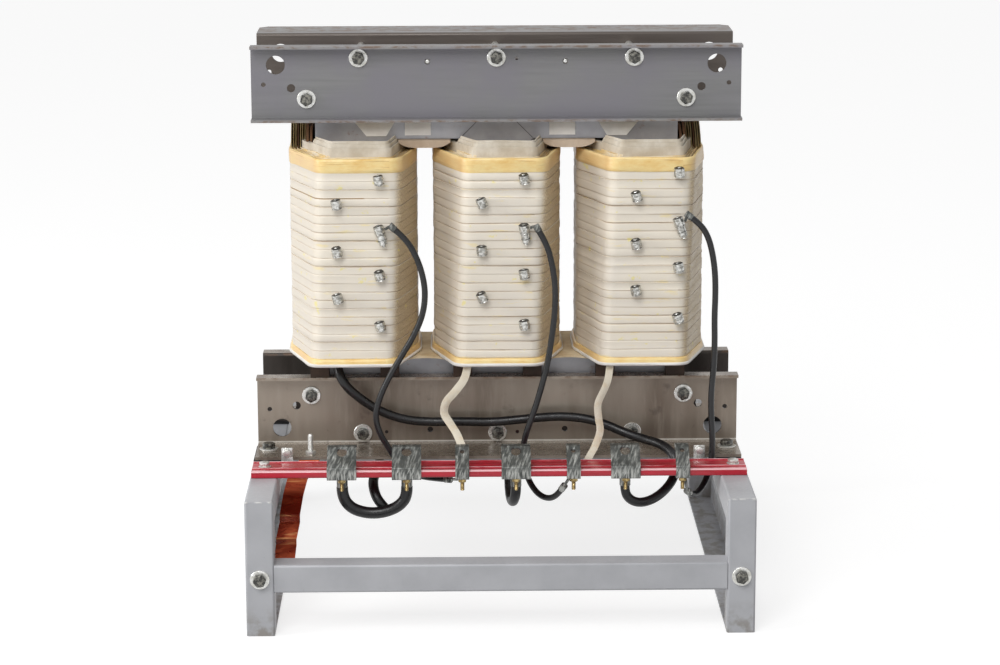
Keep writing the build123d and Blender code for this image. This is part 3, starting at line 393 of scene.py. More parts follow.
def core_steel():
    """Stacked core steel: fine lines on the cut edges and mitred joints across the faces."""
    look = Finish("core_steel", Metallic=0.45, Roughness=0.42)
    _, ny, _ = look.facing()
    edge = look.ramp(look.math("ABSOLUTE", ny), 0.7, 0.4)
    sheets = look.noise(1.0, 2, 0.5, look.scaled(4.0, 1500.0, 4.0))
    cloud = look.noise(22, 4, 0.6)
    face = look.mix(look.ramp(cloud, 0.3, 0.7), tone(150, 150, 155), tone(170, 170, 174))
    stack = look.mix(look.ramp(sheets, 0.38, 0.62), tone(92, 90, 88), tone(158, 156, 154))
    base = look.mix(edge, face, stack)
    aside = look.math("ABSOLUTE", look.x)
    outer = look.band(look.math("ADD", look.math("SUBTRACT", 0.251, aside), look.product(look.z, -1.0)),
                      -0.728, 0.0003, 0.0008)
    slope = look.math("ABSOLUTE", look.math("SUBTRACT", look.z, 0.626))
    inner = look.band(look.math("ADD", aside, slope), 0.051, 0.0003, 0.0008)
    seam = look.product(look.math("MAXIMUM", outer, inner), look.ramp(look.z, 0.6, 0.62))
    base = look.mix(look.product(seam, 0.8), base, tone(60, 57, 55))
    rust = look.product(look.ramp(look.noise(48, 5, 0.65), 0.60, 0.70), 0.5)
    base = look.mix(rust, base, tone(128, 100, 76))
    look.colour(base)
    look.bump(look.product(edge, sheets), 0.0004, 0.6)
    return look.material


def board(name, dark, light, fibre=0.35):
    """Pressed board or heavy paper with a loose fibre and stained patches."""
    look = Finish(name, Roughness=0.75)
    fibres = look.noise(240, 4, 0.65, look.scaled(1.0, 1.0, 0.4))
    patch = look.noise(24, 4, 0.6)
    base = look.mix(look.ramp(patch, 0.3, 0.7), dark, light)
    base = look.mix(look.product(look.ramp(fibres, 0.45, 0.7), fibre), base, dark)
    look.colour(base)
    look.bump(fibres, 0.0003, 0.5)
    return look.material


def pressboard():
    return board("pressboard", tone(132, 108, 78), tone(186, 160, 122))


def saddle_paper():
    return board("saddle_paper", tone(206, 180, 138), tone(236, 220, 188), 0.25)


def white_paper():
    return board("white_paper", tone(222, 219, 214), tone(240, 238, 234), 0.15)


def brown_board():
    return board("brown_board", tone(92, 62, 40), tone(136, 98, 64))


def tier_paper():
    return board("tier_paper", tone(196, 184, 164), tone(226, 219, 206), 0.2)


def apron_paper():
    return board("apron_paper", tone(176, 156, 134), tone(206, 188, 168), 0.3)


def olive_paper():
    return board("olive_paper", tone(140, 118, 70), tone(206, 188, 142), 0.3)


# painted shade: the coil supports are darkened so that they read as the shadow under the coils
def support_shade_board():
    return board("support_shade_board", tone(46, 36, 30), tone(78, 60, 48), 0.2)


# painted shade for the inside of a small hole
def pilot_hole_shade():
    return board("pilot_hole_shade", tone(44, 16, 18), tone(62, 24, 26), 0.1)


def inner_paper():
    """The inner winding: pale wrapped layers whose edges show as lines on top."""
    look = Finish("inner_paper", Roughness=0.5)
    _, _, up = look.facing()
    top = look.ramp(up, 0.4, 0.7)
    patch = look.noise(30, 4, 0.6)
    side = look.mix(look.ramp(patch, 0.35, 0.7), tone(242, 232, 212), tone(234, 205, 140))
    layer = look.noise(1.0, 2, 0.5, look.scaled(6.0, 520.0, 6.0))
    edges = look.mix(look.ramp(layer, 0.40, 0.60), tone(196, 158, 92), tone(244, 226, 184))
    look.colour(look.mix(top, side, edges))
    look.bump(look.noise(160, 3, 0.6, look.scaled(0.4, 0.4, 2.5)), 0.0006, 0.5)
    return look.material


def winding_paper(paper):
    """Varnished paper turns: thin dark lines in the grooves between them, darker towards the right flank.
    """
    look = Finish("winding_paper", Roughness=0.5, Coat_Weight=0.15, Coat_Roughness=0.3)
    along, turn, _ = look.uv()
    nx, _, _ = look.facing()
    right, left = look.ramp(nx, 0.30, 0.85), look.ramp(nx, -0.3, -0.85)
    own = look.math("FLOOR", look.math("ADD", turn, 0.5))
    off = look.math("ABSOLUTE", look.math("SUBTRACT", turn, own))
    strength = look.noise(1.0, 2, 0.6, look.join(look.product(along, 9.0), look.product(own, 5.3), look.x))
    line = look.product(look.ramp(off, 0.03, 0.085, 1.0, 0.0), look.ramp(strength, 0.40, 0.70, 0.12, 0.9))
    smear = look.noise(1.0, 4, 0.6, look.join(look.product(along, 26.0), look.product(turn, 1.6), look.x))
    stain = look.ramp(smear, 0.58, 0.72)
    fibre = look.noise(900, 2, 0.6)
    base = look.mix(look.ramp(look.noise(18, 3), 0.3, 0.7), paper, tone(232, 224, 211))
    base = look.mix(look.product(stain, 0.55), base, tone(243, 222, 150))
    # painted shade: faces turned to the left are tinted a little greyer than the front
    base = look.mix(look.product(left, 0.5), base, tone(224, 214, 199))
    weave = look.noise(1.0, 2, 0.6, look.join(look.product(along, 420.0), look.product(turn, 4.5), 0.0))
    rough_side = look.mix(look.ramp(weave, 0.35, 0.65), tone(178, 150, 108), tone(214, 194, 154))
    base = look.mix(look.product(right, 0.85), base, rough_side)
    shade = look.mix(right, tone(176, 148, 116), tone(126, 96, 62))
    base = look.mix(look.product(line, 0.72), base, shade)
    spots = look.ramp(look.noise(1.0, 3, 0.6, look.join(look.product(along, 60.0), look.product(turn, 0.8),
                                                        look.product(look.x, 3.0))), 0.66, 0.72)
    base = look.mix(look.product(spots, 0.6), base, tone(240, 226, 120))
    wire = look.product(look.ramp(look.math("ABSOLUTE", look.math("SUBTRACT", turn, 19.0)), 0.10, 0.05),
                        look.band(look.x, -0.245, 0.060, 0.006))
    base = look.mix(look.product(wire, 0.85), base, tone(158, 124, 74))
    base = look.mix(look.product(look.ramp(fibre, 0.6, 0.8), 0.18), base, tone(178, 160, 130))
    look.colour(base)
    look.rough(look.ramp(smear, 0.3, 0.7, 0.58, 0.4))
    height = look.math("ADD", look.product(weave, look.math("ADD", look.product(right, 0.8), 0.15)),
                       look.product(fibre, 0.2))
    look.bump(look.math("SUBTRACT", height, look.product(line, 0.6)), 0.0005, 0.6)
    return look.material


def varnished_tape(tape):
    """Tape collars soaked in amber varnish: wrinkled, glossy in patches, darker at the edges."""
    look = Finish("varnished_tape", Roughness=0.4, Coat_Weight=0.25, Coat_Roughness=0.25)
    along, up, _ = look.uv()
    nx, _, _ = look.facing()
    pool = look.noise(1.0, 4, 0.65, look.join(look.product(along, 28.0), look.product(up, 60.0), look.x))
    fold = look.noise(1.0, 3, 0.6, look.join(look.product(along, 14.0), look.product(up, 420.0), look.x))
    base = look.mix(look.ramp(pool, 0.34, 0.66), tone(247, 222, 158), tape)
    base = look.mix(look.product(look.ramp(pool, 0.60, 0.74), 0.7), base, tone(222, 168, 78))
    flank = look.ramp(look.math("ABSOLUTE", nx), 0.35, 0.85)
    base = look.mix(look.product(flank, 0.45), base, tone(230, 190, 142))
    crease = look.ramp(fold, 0.60, 0.70)
    base = look.mix(look.product(crease, 0.55), base, tone(176, 122, 62))
    look.colour(base)
    look.rough(look.ramp(pool, 0.3, 0.7, 0.5, 0.28))
    look.bump(look.math("ADD", look.product(fold, 1.2), pool), 0.0008, 0.6)
    return look.material


def red_bar():
    """Red laminate bar: pale on its ribs and front edge, partly from wear and partly a painted highlight,
    glossy on its front.
    """
    look = Finish("red_bar", Roughness=0.3, Coat_Weight=0.3, Coat_Roughness=0.15)
    grain = look.noise(130, 4, 0.6, look.scaled(0.12, 1.0, 1.0))
    base = look.mix(look.ramp(grain, 0.35, 0.65), tone(172, 6, 34), tone(196, 14, 46))
    # pale top and front edge: partly wear, partly a painted highlight along the ridges
    worn = look.product(look.ramp(look.z, 0.1955, 0.196), look.ramp(grain, 0.32, 0.55))
    edge = look.product(look.band(look.y, -0.2315, 0.0008, 0.0008), look.ramp(look.z, 0.1935, 0.1945))
    worn = look.math("MAXIMUM", worn, edge)
    base = look.mix(look.product(worn, 0.85), base, tone(246, 206, 210))
    foot = look.product(look.ramp(look.z, 0.1905, 0.187), 0.5)
    base = look.mix(foot, base, tone(140, 6, 26))
    scuff = look.ramp(look.noise(70, 5, 0.7, look.scaled(0.4, 1.0, 1.0)), 0.62, 0.72)
    base = look.mix(look.product(scuff, 0.35), base, tone(226, 96, 110))
    look.colour(base)
    look.rough(look.ramp(grain, 0.3, 0.7, 0.24, 0.42))
    look.bump(grain, 0.0002, 0.5)
    return look.material


def brass():
    """Plain brass, a little tarnished."""
    look = Finish("brass", Metallic=0.9, Roughness=0.3)
    patch = look.noise(240, 4, 0.6)
    base = look.mix(look.ramp(patch, 0.36, 0.66), tone(190, 168, 118), tone(136, 116, 78))
    look.colour(base)
    look.rough(look.ramp(patch, 0.3, 0.7, 0.22, 0.44))
    look.bump(patch, 0.0001, 0.4)
    return look.material


def copper():
    """Bare copper strip, creased, with painted highlights and dark red patches that are partly its own tone
    and partly a painted reflection of the red bar.
    """
    look = Finish("copper", Metallic=0.85, Roughness=0.3)
    crease = look.noise(34, 4, 0.6, look.scaled(0.5, 0.8, 1.5), 0.6)
    base = look.mix(look.ramp(crease, 0.36, 0.62), tone(146, 52, 32), tone(196, 96, 60))
    # painted highlight: pale orange streaks
    painted_highlight = look.noise(26, 3, 0.6, look.scaled(0.25, 1.0, 2.4))
    base = look.mix(look.product(look.ramp(painted_highlight, 0.60, 0.66), 0.8), base, tone(236, 170, 112))
    # dark red patches: partly the copper's own tone, partly a painted reflection of the red bar
    base = look.mix(look.product(look.ramp(look.noise(80, 4), 0.55, 0.72), 0.4), base, tone(96, 28, 20))
    look.colour(base)
    look.rough(look.ramp(crease, 0.3, 0.7, 0.22, 0.42))
    look.bump(crease, 0.0016, 0.6)
    return look.material


def woven_tape():
    """Cream cotton tape: crossing threads and a stitched edge."""
    look = Finish("woven_tape", Roughness=0.85, Sheen_Weight=0.2)
    along, across, _ = look.uv()
    weft = look.math("SINE", look.product(along, 5200.0))
    warp = look.math("SINE", look.product(across, 5200.0))
    cloth = look.product(weft, warp)
    stain = look.ramp(look.noise(60, 4, 0.6), 0.45, 0.7)
    base = look.mix(look.ramp(cloth, -0.6, 0.6), tone(214, 203, 182), tone(240, 233, 217))
    base = look.mix(look.product(stain, 0.5), base, tone(214, 190, 150))
    look.colour(base)
    look.bump(cloth, 0.0002, 0.6)
    return look.material


def black_cable(jacket):
    """Black cable jacket with a soft shine and pale scuffs."""
    look = Finish("black_cable", Roughness=0.34)
    scuff = look.noise(160, 5, 0.7, look.scaled(1.0, 1.0, 0.5))
    dust = look.ramp(look.noise(36, 4), 0.5, 0.75)
    base = look.mix(look.product(look.ramp(scuff, 0.62, 0.76), 0.4), jacket, tone(84, 84, 90))
    base = look.mix(look.product(dust, 0.12), base, tone(64, 64, 70))
    look.colour(base)
    look.rough(look.ramp(scuff, 0.3, 0.7, 0.24, 0.44))
    look.bump(scuff, 0.0004, 0.4)
    return look.material


MADE = {}


def finish(name):
    """The finish of that name, made the first time it is asked for."""
    if name not in MADE:
        scene = bpy.context.scene
        makers = {
            "winding_paper": lambda: winding_paper(tuple(scene.transformer_coils.paper)),
            "varnished_tape": lambda: varnished_tape(tuple(scene.transformer_coils.tape)),
            "black_cable": lambda: black_cable(tuple(scene.transformer_leads.jacket)),
        }
        plain = {
            "tier_paper": tier_paper, "apron_paper": apron_paper, "olive_paper": olive_paper,
            "support_shade_board": support_shade_board, "pilot_hole_shade": pilot_hole_shade, "tap_top_shade": tap_top_shade,
            "stand_paint": stand_paint, "upper_clamp_steel": upper_clamp_steel,
            "lower_clamp_steel": lower_clamp_steel, "zinc": zinc, "dark_head": dark_head,
            "tinned": tinned, "tap_metal": tap_metal, "rubber": rubber, "core_steel": core_steel,
            "pressboard": pressboard, "saddle_paper": saddle_paper, "white_paper": white_paper,
            "brown_board": brown_board, "inner_paper": inner_paper, "red_bar": red_bar,
            "brass": brass, "copper": copper, "woven_tape": woven_tape,
        }
        MADE[name] = (makers.get(name) or plain[name])()
    return MADE[name]


# ---------------------------------------------------------------- modelling helpers
def deselect():
    bpy.ops.object.select_all(action="DESELECT")


def pick(*pieces):
    """Select these pieces alone, the last one active."""
    deselect()
    for piece in pieces:
        piece.select_set(True)
    bpy.context.view_layer.objects.active = pieces[-1]


def settle(piece, matrix=None):
    """Move a piece's place into its mesh, then turn or shift the mesh."""
    piece.data.transform(piece.matrix_basis)
    if matrix is not None:
        piece.data.transform(matrix)
    piece.matrix_basis = Matrix.Identity(4)
    piece.data.update()
    return piece


def named(name):
    piece = bpy.context.object
    piece.name = piece.data.name = name
    return settle(piece)


def box(name, low, high):
    """A plain block between two corners, to be bevelled or shaped."""
    low, high = Vector(low), Vector(high)
    deselect()
    bpy.ops.mesh.primitive_cube_add(size=1, location=(low + high) / 2, scale=high - low)
    return named(name)


def drum(name, sides, radius, low, high, turn=0.0, x=0.0, y=0.0):
    """An upright prism or cylinder between two heights."""
    deselect()
    bpy.ops.mesh.primitive_cylinder_add(vertices=sides, radius=radius, depth=high - low,
                                        location=(x, y, (low + high) / 2), rotation=(0, 0, turn))
    return named(name)


def soften(piece, width, segments=2, angle=30.0):
    """Round every sharp edge of a piece."""
    pick(piece)
    edges = piece.modifiers.new("edges", "BEVEL")
    edges.width, edges.segments = width, segments
    edges.limit_method, edges.angle_limit = "ANGLE", math.radians(angle)
    bpy.ops.object.modifier_apply(modifier=edges.name)
    return piece


def smooth(piece, angle=35.0):
    pick(piece)
    bpy.ops.object.shade_smooth_by_angle(angle=math.radians(angle))
    return piece


def edit(piece, test, element="FACE"):
    """Go into edit mode with the faces or edges selected that pass a test."""
    pick(piece)
    bpy.ops.object.mode_set(mode="EDIT")
    bpy.ops.mesh.select_mode(type=element)
    bpy.ops.mesh.select_all(action="DESELECT")
    shell = bmesh.from_edit_mesh(piece.data)
    for item in shell.faces if element == "FACE" else shell.edges:
        if test(item):
            item.select_set(True)
    bmesh.update_edit_mesh(piece.data)


def leave():
    bpy.ops.object.mode_set(mode="OBJECT")


def copied(piece, name, matrix):
    """A copy with its own mesh, moved."""
    twin = piece.copy()
    twin.data = piece.data.copy()
    twin.name = twin.data.name = name
    bpy.context.collection.objects.link(twin)
    twin.data.transform(matrix)
    if matrix.determinant() < 0:
        twin.data.flip_normals()
    return twin


def joined(name, pieces):
    """Join pieces into one object."""
    pick(*pieces)
    if len(pieces) > 1:
        bpy.ops.object.join()
    piece = bpy.context.object
    piece.name = piece.data.name = name
    return piece


def dress(piece, *materials):
    piece.data.materials.clear()
    for material in materials:
        piece.data.materials.append(finish(material))
    return piece


def deliver(piece, slot, *nodes):
    """Hand a finished piece to the body it moves with."""
    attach(piece, BODY)
    if nodes:
        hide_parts(*nodes)
    return piece


def wrap(name, rings, heights=None, closed=True):
    """A grid of faces wrapped round: one closed ring of points to each row."""
    columns, rows = len(rings[0]), len(rings) - (0 if closed else 1)
    deselect()
    bpy.ops.mesh.primitive_grid_add(x_subdivisions=columns, y_subdivisions=rows, size=2)
    piece = named(name)
    lengths = [0.0]
    for here, after in zip(rings[0], rings[0][1:] + rings[0][:1]):
        lengths.append(lengths[-1] + (Vector(after) - Vector(here)).length)
    spots = []
    for vertex in piece.data.vertices:
        column = round((vertex.co.x + 1) / 2 * columns)
        row = round((vertex.co.y + 1) / 2 * rows)
        spots.append((column, row))
        vertex.co = rings[row % len(rings)][column % columns]
    layer = piece.data.uv_layers[0]
    layer.name = "UVMap"
    for loop in piece.data.loops:
        column, row = spots[loop.vertex_index]
        layer.data[loop.index].uv = (lengths[column], heights[row] if heights else row / rows)
    pick(piece)
    bpy.ops.object.mode_set(mode="EDIT")
    bpy.ops.mesh.select_all(action="SELECT")
    bpy.ops.mesh.remove_doubles(threshold=1e-6)
    bpy.ops.mesh.normals_make_consistent(inside=False)
    leave()
    return piece


def circle(radius, height, sides=24, x=0.0, y=0.0, turn=0.0):
    """A level ring of points."""
    step = 2 * math.pi / sides
    return [(x + radius * math.cos(turn + k * step), y + radius * math.sin(turn + k * step), height)
            for k in range(sides)]


def lathe(name, profile, sides=24):
    """A turned piece: rings of the profile's radii and heights, closed at both ends."""
    return wrap(name, [circle(radius, height, sides) for radius, height in profile], closed=False)


def facing_front(x, y, z):
    """Turn a piece that stands up so that it points to the front, at a place."""
    return Matrix.Translation((x, y, z)) @ Matrix.Rotation(math.radians(90), 4, "X")


def facing_rear(x, y, z):
    return Matrix.Translation((x, y, z)) @ Matrix.Rotation(math.radians(-90), 4, "X")


def chance(*values):
    """An even, repeatable number from -1 to 1 for a place."""
    return 2.0 * noise.cell(Vector((values + (0.37, 0.71, 0.13))[:3]) * 1.7) - 1.0


# ---------------------------------------------------------------- the coil's outline
COIL_LOW, COIL_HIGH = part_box("middle_outer_winding")
COIL_X = {coil: (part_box(coil + "_outer_winding")[0][0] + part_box(coil + "_outer_winding")[1][0]) / 2
          for coil in COILS}
HALF_WIDTH, HALF_DEPTH = COIL_HIGH[0], COIL_HIGH[1]
FRONT_FLAT, FLANK_FLAT = HALF_WIDTH - 0.032, 0.045
OUTER_BUILD = 0.018
COIL_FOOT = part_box("middle_bottom_rim")[0][2]
FRONT_STEPS, SLANT_STEPS, FLANK_STEPS = 9, 10, 6
FOOT_DRIFT, TOP_DRIFT = 0.001, 0.010      # the front flat's shift to the right, and its growth with height


def coil_loop(inset, height):
    """Points round a coil at one height: a long octagon whose front leans a little to the right."""
    side, front = HALF_WIDTH - inset, HALF_DEPTH - inset
    slant = math.atan2(HALF_DEPTH - FLANK_FLAT, HALF_WIDTH - FRONT_FLAT)
    flat = FRONT_FLAT - inset * math.tan(slant / 2)
    flank = FLANK_FLAT - inset * math.tan(math.pi / 4 - slant / 2)
    big, small = max(0.004, 0.019 - inset * 0.5), 0.05
    share = min(max((height - COIL_FOOT) / (COIL_HIGH[2] - COIL_FOOT), 0.0), 1.0)
    drift = FOOT_DRIFT + TOP_DRIFT * share
    corners = [((flat + drift, -front), big, 8), ((side, -flank), small, 4), ((side, flank), small, 4),
               ((flat, front), big, 8), ((-flat, front), big, 8), ((-side, flank), small, 4),
               ((-side, -flank), small, 4), ((-flat + drift, -front), big, 8)]
    spans = (SLANT_STEPS, FLANK_STEPS, SLANT_STEPS, FRONT_STEPS) * 2
    arcs = []
    for k, (corner, radius, steps) in enumerate(corners):
        here = Vector(corner)
        before = (Vector(corners[k - 1][0]) - here).normalized()
        after = (Vector(corners[(k + 1) % 8][0]) - here).normalized()
        half = before.angle(after) / 2
        reach = radius / math.tan(half)
        middle = here + (before + after).normalized() * radius / math.sin(half)
        start, end = here + before * reach - middle, here + after * reach - middle
        turn = start.angle_signed(end)
        arcs.append([middle + Matrix.Rotation(-turn * step / steps, 2) @ start
                     for step in range(steps + 1)])
    points = []
    for k, arc in enumerate(arcs):
        points += arc
        after = arcs[(k + 1) % 8][0]
        points += [arc[-1].lerp(after, step / spans[k]) for step in range(1, spans[k])]
    return [Vector((point.x, point.y, height)) for point in points]


def outward(loop):
    """The outward direction at each point of a loop."""
    ways = []
    for k, point in enumerate(loop):
        along = loop[(k + 1) % len(loop)] - loop[k - 1]
        ways.append(Vector((along.y, -along.x, 0)).normalized())
    return ways


def at_coil(piece, coil):
    piece.data.transform(Matrix.Translation((COIL_X[coil], 0, 0)))
    piece.data.update()
    return piece


# ---------------------------------------------------------------- coils
def outer_winding(coil):
    """Wind the outer coil: a soft ridge to each turn, every turn a little out of level."""
    look = bpy.context.scene.transformer_coils
    bottom, top = COIL_LOW[2], COIL_HIGH[2]
    pitch = (top - bottom) / look.turns
    seed = 11.0 * COILS.index(coil)
    rings, heights = [], []

    def ring(height, inset, turn, sway):
        loop = []
        base = coil_loop(0, height)
        for point, way in zip(base, outward(base)):
            spot = Vector((point.x * 9, point.y * 9, turn * 0.9 + seed))
            lift = look.waviness * sway * noise.noise(spot * 1.3)
            push = 0.0004 * noise.noise(spot * 2.1 + Vector((5, 5, 5))) - inset
            loop.append(Vector((point.x, point.y, height + lift)) + way * push)
        return loop

    for turn in range(look.turns):
        z = bottom + turn * pitch
        tight = 0.35 + 0.65 * abs(chance(turn, seed, 2.0))
        fat = 0.0003 * abs(chance(turn, seed, 5.0))
        sway = 0.0 if turn == 0 else 1.0
        for share, inset in ((0.0, look.groove * tight), (0.06, look.groove * tight * 0.35),
                             (0.2, fat + 0.0001), (0.5, fat), (0.8, fat + 0.0001),
                             (0.94, look.groove * tight * 0.35)):
            rings.append(ring(z + pitch * share, inset, turn + (share > 0.5), sway))
            heights.append(turn + share)
    rings.append(ring(top, 0.0004, look.turns, 0.0))
    heights.append(look.turns)
    for inset, z in ((OUTER_BUILD - 0.002, top), (OUTER_BUILD, top - 0.002),
                     (OUTER_BUILD, bottom + 0.002), (OUTER_BUILD - 0.002, bottom)):
        rings.append(coil_loop(inset, z))
        heights.append(look.turns + 0.5)
    heights.append(0.0)
    piece = wrap(coil + "_wound_turns", rings, heights)
    at_coil(smooth(piece, 50), coil)
    dress(piece, "winding_paper")
    return deliver(piece, "winding_paper", coil + "_outer_winding")


def collar(name, coil, profile, ruffle):
    """A band of wrinkled tape round the coil, from rows of inset, height and looseness."""
    seed = 7.0 * COILS.index(coil) + len(name)
    rings, heights = [], []
    for row, (inset, z, loose) in enumerate(profile):
        loop = coil_loop(inset, z)
        ways = outward(loop)
        ring = []
        for point, way in zip(loop, ways):
            spot = Vector((point.x * 22, point.y * 22, seed + row * 0.35))
            push = ruffle * loose * noise.noise(spot)
            lift = ruffle * loose * 1.2 * noise.noise(spot * 0.7 + Vector((9, 3, 1)))
            ring.append(point + way * push + Vector((0, 0, lift)))
        rings.append(ring)
        heights.append(z)
    heights.append(profile[0][1])
    piece = wrap(name, rings, heights)
    at_coil(smooth(piece, 50), coil)
    return dress(piece, "varnished_tape")


def top_collar(coil):
    """The tape collar over the top of the outer winding, its upper edge folded inwards."""
    base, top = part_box(coil + "_top_band")[0][2], COIL_HIGH[2] + 0.0195
    profile = [(0.0003, base - 0.0006, 0.6), (-0.0004, base + 0.0010, 1.0), (-0.0005, base + 0.005, 0.9),
               (-0.0004, base + 0.010, 0.9), (-0.0004, base + 0.015, 0.9), (-0.0001, top - 0.0012, 0.9),
               (0.0010, top, 0.9), (0.0030, top + 0.0001, 0.9), (0.0042, top - 0.0010, 0.7),
               (0.0046, top - 0.004, 0.3), (0.0046, base, 0.0)]
    piece = collar(coil + "_tape_collar", coil, profile, 0.0013)
    return deliver(piece, "varnished_tape", coil + "_top_band")


def bottom_collar(coil):
    """The tape band under the winding with the pale paper rim that shows below it."""
    low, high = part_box(coil + "_bottom_rim")
    base, top = low[2], high[2]
    profile = [(-0.0034, base, 0.3), (-0.0048, base + 0.0015, 0.4), (-0.0046, base + 0.0035, 0.4),
               (-0.0028, base + 0.0046, 0.3), (-0.0026, base + 0.0075, 0.7), (-0.0018, base + 0.0100, 0.7),
               (-0.0004, top + 0.0004, 0.5), (0.004, top, 0.0), (0.0175, top - 0.001, 0.0),
               (0.0178, base + 0.001, 0.0), (0.0168, base, 0.0)]
    piece = collar(coil + "_foot_collar", coil, profile, 0.0009)
    piece.data.materials.append(finish("white_paper"))
    for face in piece.data.polygons:
        if face.center.z < base + 0.0044:
            face.material_index = 1
    return deliver(piece, "varnished_tape", coil + "_bottom_rim")


def sheet_ring(coil, inset, thick, low, high, ragged, seed):
    """One sheet standing on edge all the way round a coil, its upper edge uneven."""
    rings = []
    for part, (extra, z) in enumerate(((0.0, low), (0.0, high), (thick, high), (thick, low))):
        loop = coil_loop(inset + extra, z)
        ring = []
        for point, way in zip(loop, outward(loop)):
            spot = Vector((point.x * 18, point.y * 18, seed + COIL_X[coil] * 50))
            raised = part in (1, 2)
            lift = ragged * noise.noise(spot) if raised else 0.0
            push = 0.0005 * noise.noise(spot * 1.7) if raised else 0.0
            ring.append(point + way * push + Vector((0, 0, lift)))
        rings.append(ring)
    return wrap("sheet", rings)


def paper_layers(coil):
    """Paper edges standing in rows round the duct, and the two white tiers inside them."""
    base, top = COIL_HIGH[2] + 0.002, COIL_HIGH[2] + 0.0185
    sheets = [sheet_ring(coil, 0.0064 + 0.0024 * k, 0.0007, base, top + 0.0012 * chance(k, COIL_X[coil], 3),
                         0.0016, 3.1 * k) for k in range(5)]
    floor = wrap("floor", [coil_loop(inset, z) for inset, z in
                           ((0.0046, base), (0.0046, base + 0.009), (0.018, base + 0.009), (0.018, base))])
    piece = joined(coil + "_paper_layers", sheets + [floor])
    at_coil(smooth(piece, 40), coil)
    dress(piece, "inner_paper")
    deliver(piece, "inner_paper")
    tiers = []
    for k, (inset, thick, high, ragged) in enumerate(((0.0178, 0.0016, 0.6235, 0.0012),
                                                      (0.0205, 0.0014, 0.6290, 0.0014),
                                                      (0.0228, 0.0012, 0.6325, 0.0010))):
        tiers.append(sheet_ring(coil, inset, thick, base + 0.004, high, ragged, 20 + 5.3 * k))
    tier = joined(coil + "_paper_tiers", tiers)
    at_coil(smooth(tier, 40), coil)
    for vertex in tier.data.vertices:
        if abs(vertex.co.y) < 0.074:
            vertex.co.z = min(vertex.co.z, 0.622)
    dress(tier, "tier_paper")
    return deliver(tier, "white_paper")


def end_fins():
    """The packs of sheets standing up at the outer flanks of the two outer coils."""
    packs = []
    for side in SIDES:
        for k, (away, rise, lean) in enumerate(((0.2575, 0.6440, -0.2), (0.2625, 0.6470, -0.2),
                                                (0.2668, 0.6500, -0.6), (0.2700, 0.6485, 0.3),
                                                (0.2732, 0.6510, -0.4), (0.2764, 0.6495, 0.2),
                                                (0.2796, 0.6505, -0.5), (0.2828, 0.6480, 0.1),
                                                (0.2862, 0.6500, -0.3))):
            thick = 0.0034 if k < 2 else 0.0011
            deep = 0.058 if k < 2 else 0.041 - 0.0012 * k
            sheet = box("sheet", (away - thick / 2, -deep, 0.598), (away + thick / 2, deep, rise))
            pick(sheet)
            bpy.ops.object.mode_set(mode="EDIT")
            bpy.ops.mesh.select_all(action="SELECT")
            bpy.ops.mesh.subdivide(number_cuts=5)
            leave()
            for vertex in sheet.data.vertices:
                share = (vertex.co.z - 0.598) / (rise - 0.598)
                tilt = 0.0010 * lean + (-0.0040 if side > 0 else -0.0008)
                ripple = 0.0006 * noise.noise(Vector((vertex.co.y * 30, k * 2.3, side)))
                vertex.co.x += share * share * (tilt + ripple)
                vertex.co.z += share * 0.0020 * noise.noise(Vector((vertex.co.y * 40, k * 3.7, side + 4)))
                vertex.co.x *= side
            if side < 0:
                sheet.data.flip_normals()
            sheet.data.materials.append(finish("brown_board" if k < 2 or k == 5 else "olive_paper"))
            packs.append(sheet)
    return deliver(smooth(joined("end_fin_sheets", packs), 40), "pressboard")


def saddle_aprons():
    """The paper saddles that sag between the coils under the upper yoke."""
    low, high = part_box("upper_saddles")
    aprons = []
    for side in SIDES:
        middle = side * COIL_X["right"] / 2
        half, steps = 0.036, 12
        under, over = [], []
        for step in range(steps + 1):
            share = step / steps * 2 - 1
            under.append((middle + half * share, low[2] - 0.0035 + 0.0075 * share ** 4))
            over.append((middle + half * share, 0.6256))
        outline = under + over[::-1]
        verts = [(x, y, z) for y in (low[1] + 0.001, high[1] - 0.001) for x, z in outline]
        count = len(outline)
        faces = [tuple(range(count)), tuple(range(2 * count - 1, count - 1, -1))]
        faces += [(k, k + count, (k + 1) % count + count, (k + 1) % count) for k in range(count)]
        mesh = bpy.data.meshes.new("apron")
        mesh.from_pydata(verts, [], faces)
        shape = bpy.data.objects.new("apron", mesh)
        bpy.context.collection.objects.link(shape)
        pick(shape)
        bpy.ops.object.mode_set(mode="EDIT")
        bpy.ops.mesh.select_all(action="SELECT")
        bpy.ops.mesh.normals_make_consistent(inside=False)
        leave()
        aprons.append(shape)
    piece = joined("saddle_aprons", aprons)
    dress(smooth(piece, 30), "apron_paper")
    return deliver(piece, "inner_paper", "upper_saddles")


# ---------------------------------------------------------------- taps
TAP_LEVELS = (0.584, 0.551, 0.515, 0.485, 0.452, 0.420, 0.381)
TAP_COLUMNS = (0.038, -0.020)
TAP_SHIFTS = {"left": (0.0, 0.0), "middle": (-0.002, 0.001), "right": (0.009, 0.009)}
CABLED_TAP = 2
TAP_REACH = 0.009


def tap_nut(name, width, low, high, turn):
    """A six-sided nut with chamfered corners and a raised round seat on top."""
    piece = drum(name, 6, width / math.sqrt(3), low, high, turn)
    edit(piece, lambda face: face.normal.z > 0.9)
    bpy.ops.mesh.inset(thickness=width * 0.09, depth=width * 0.03)
    leave()
    return soften(piece, width * 0.05)


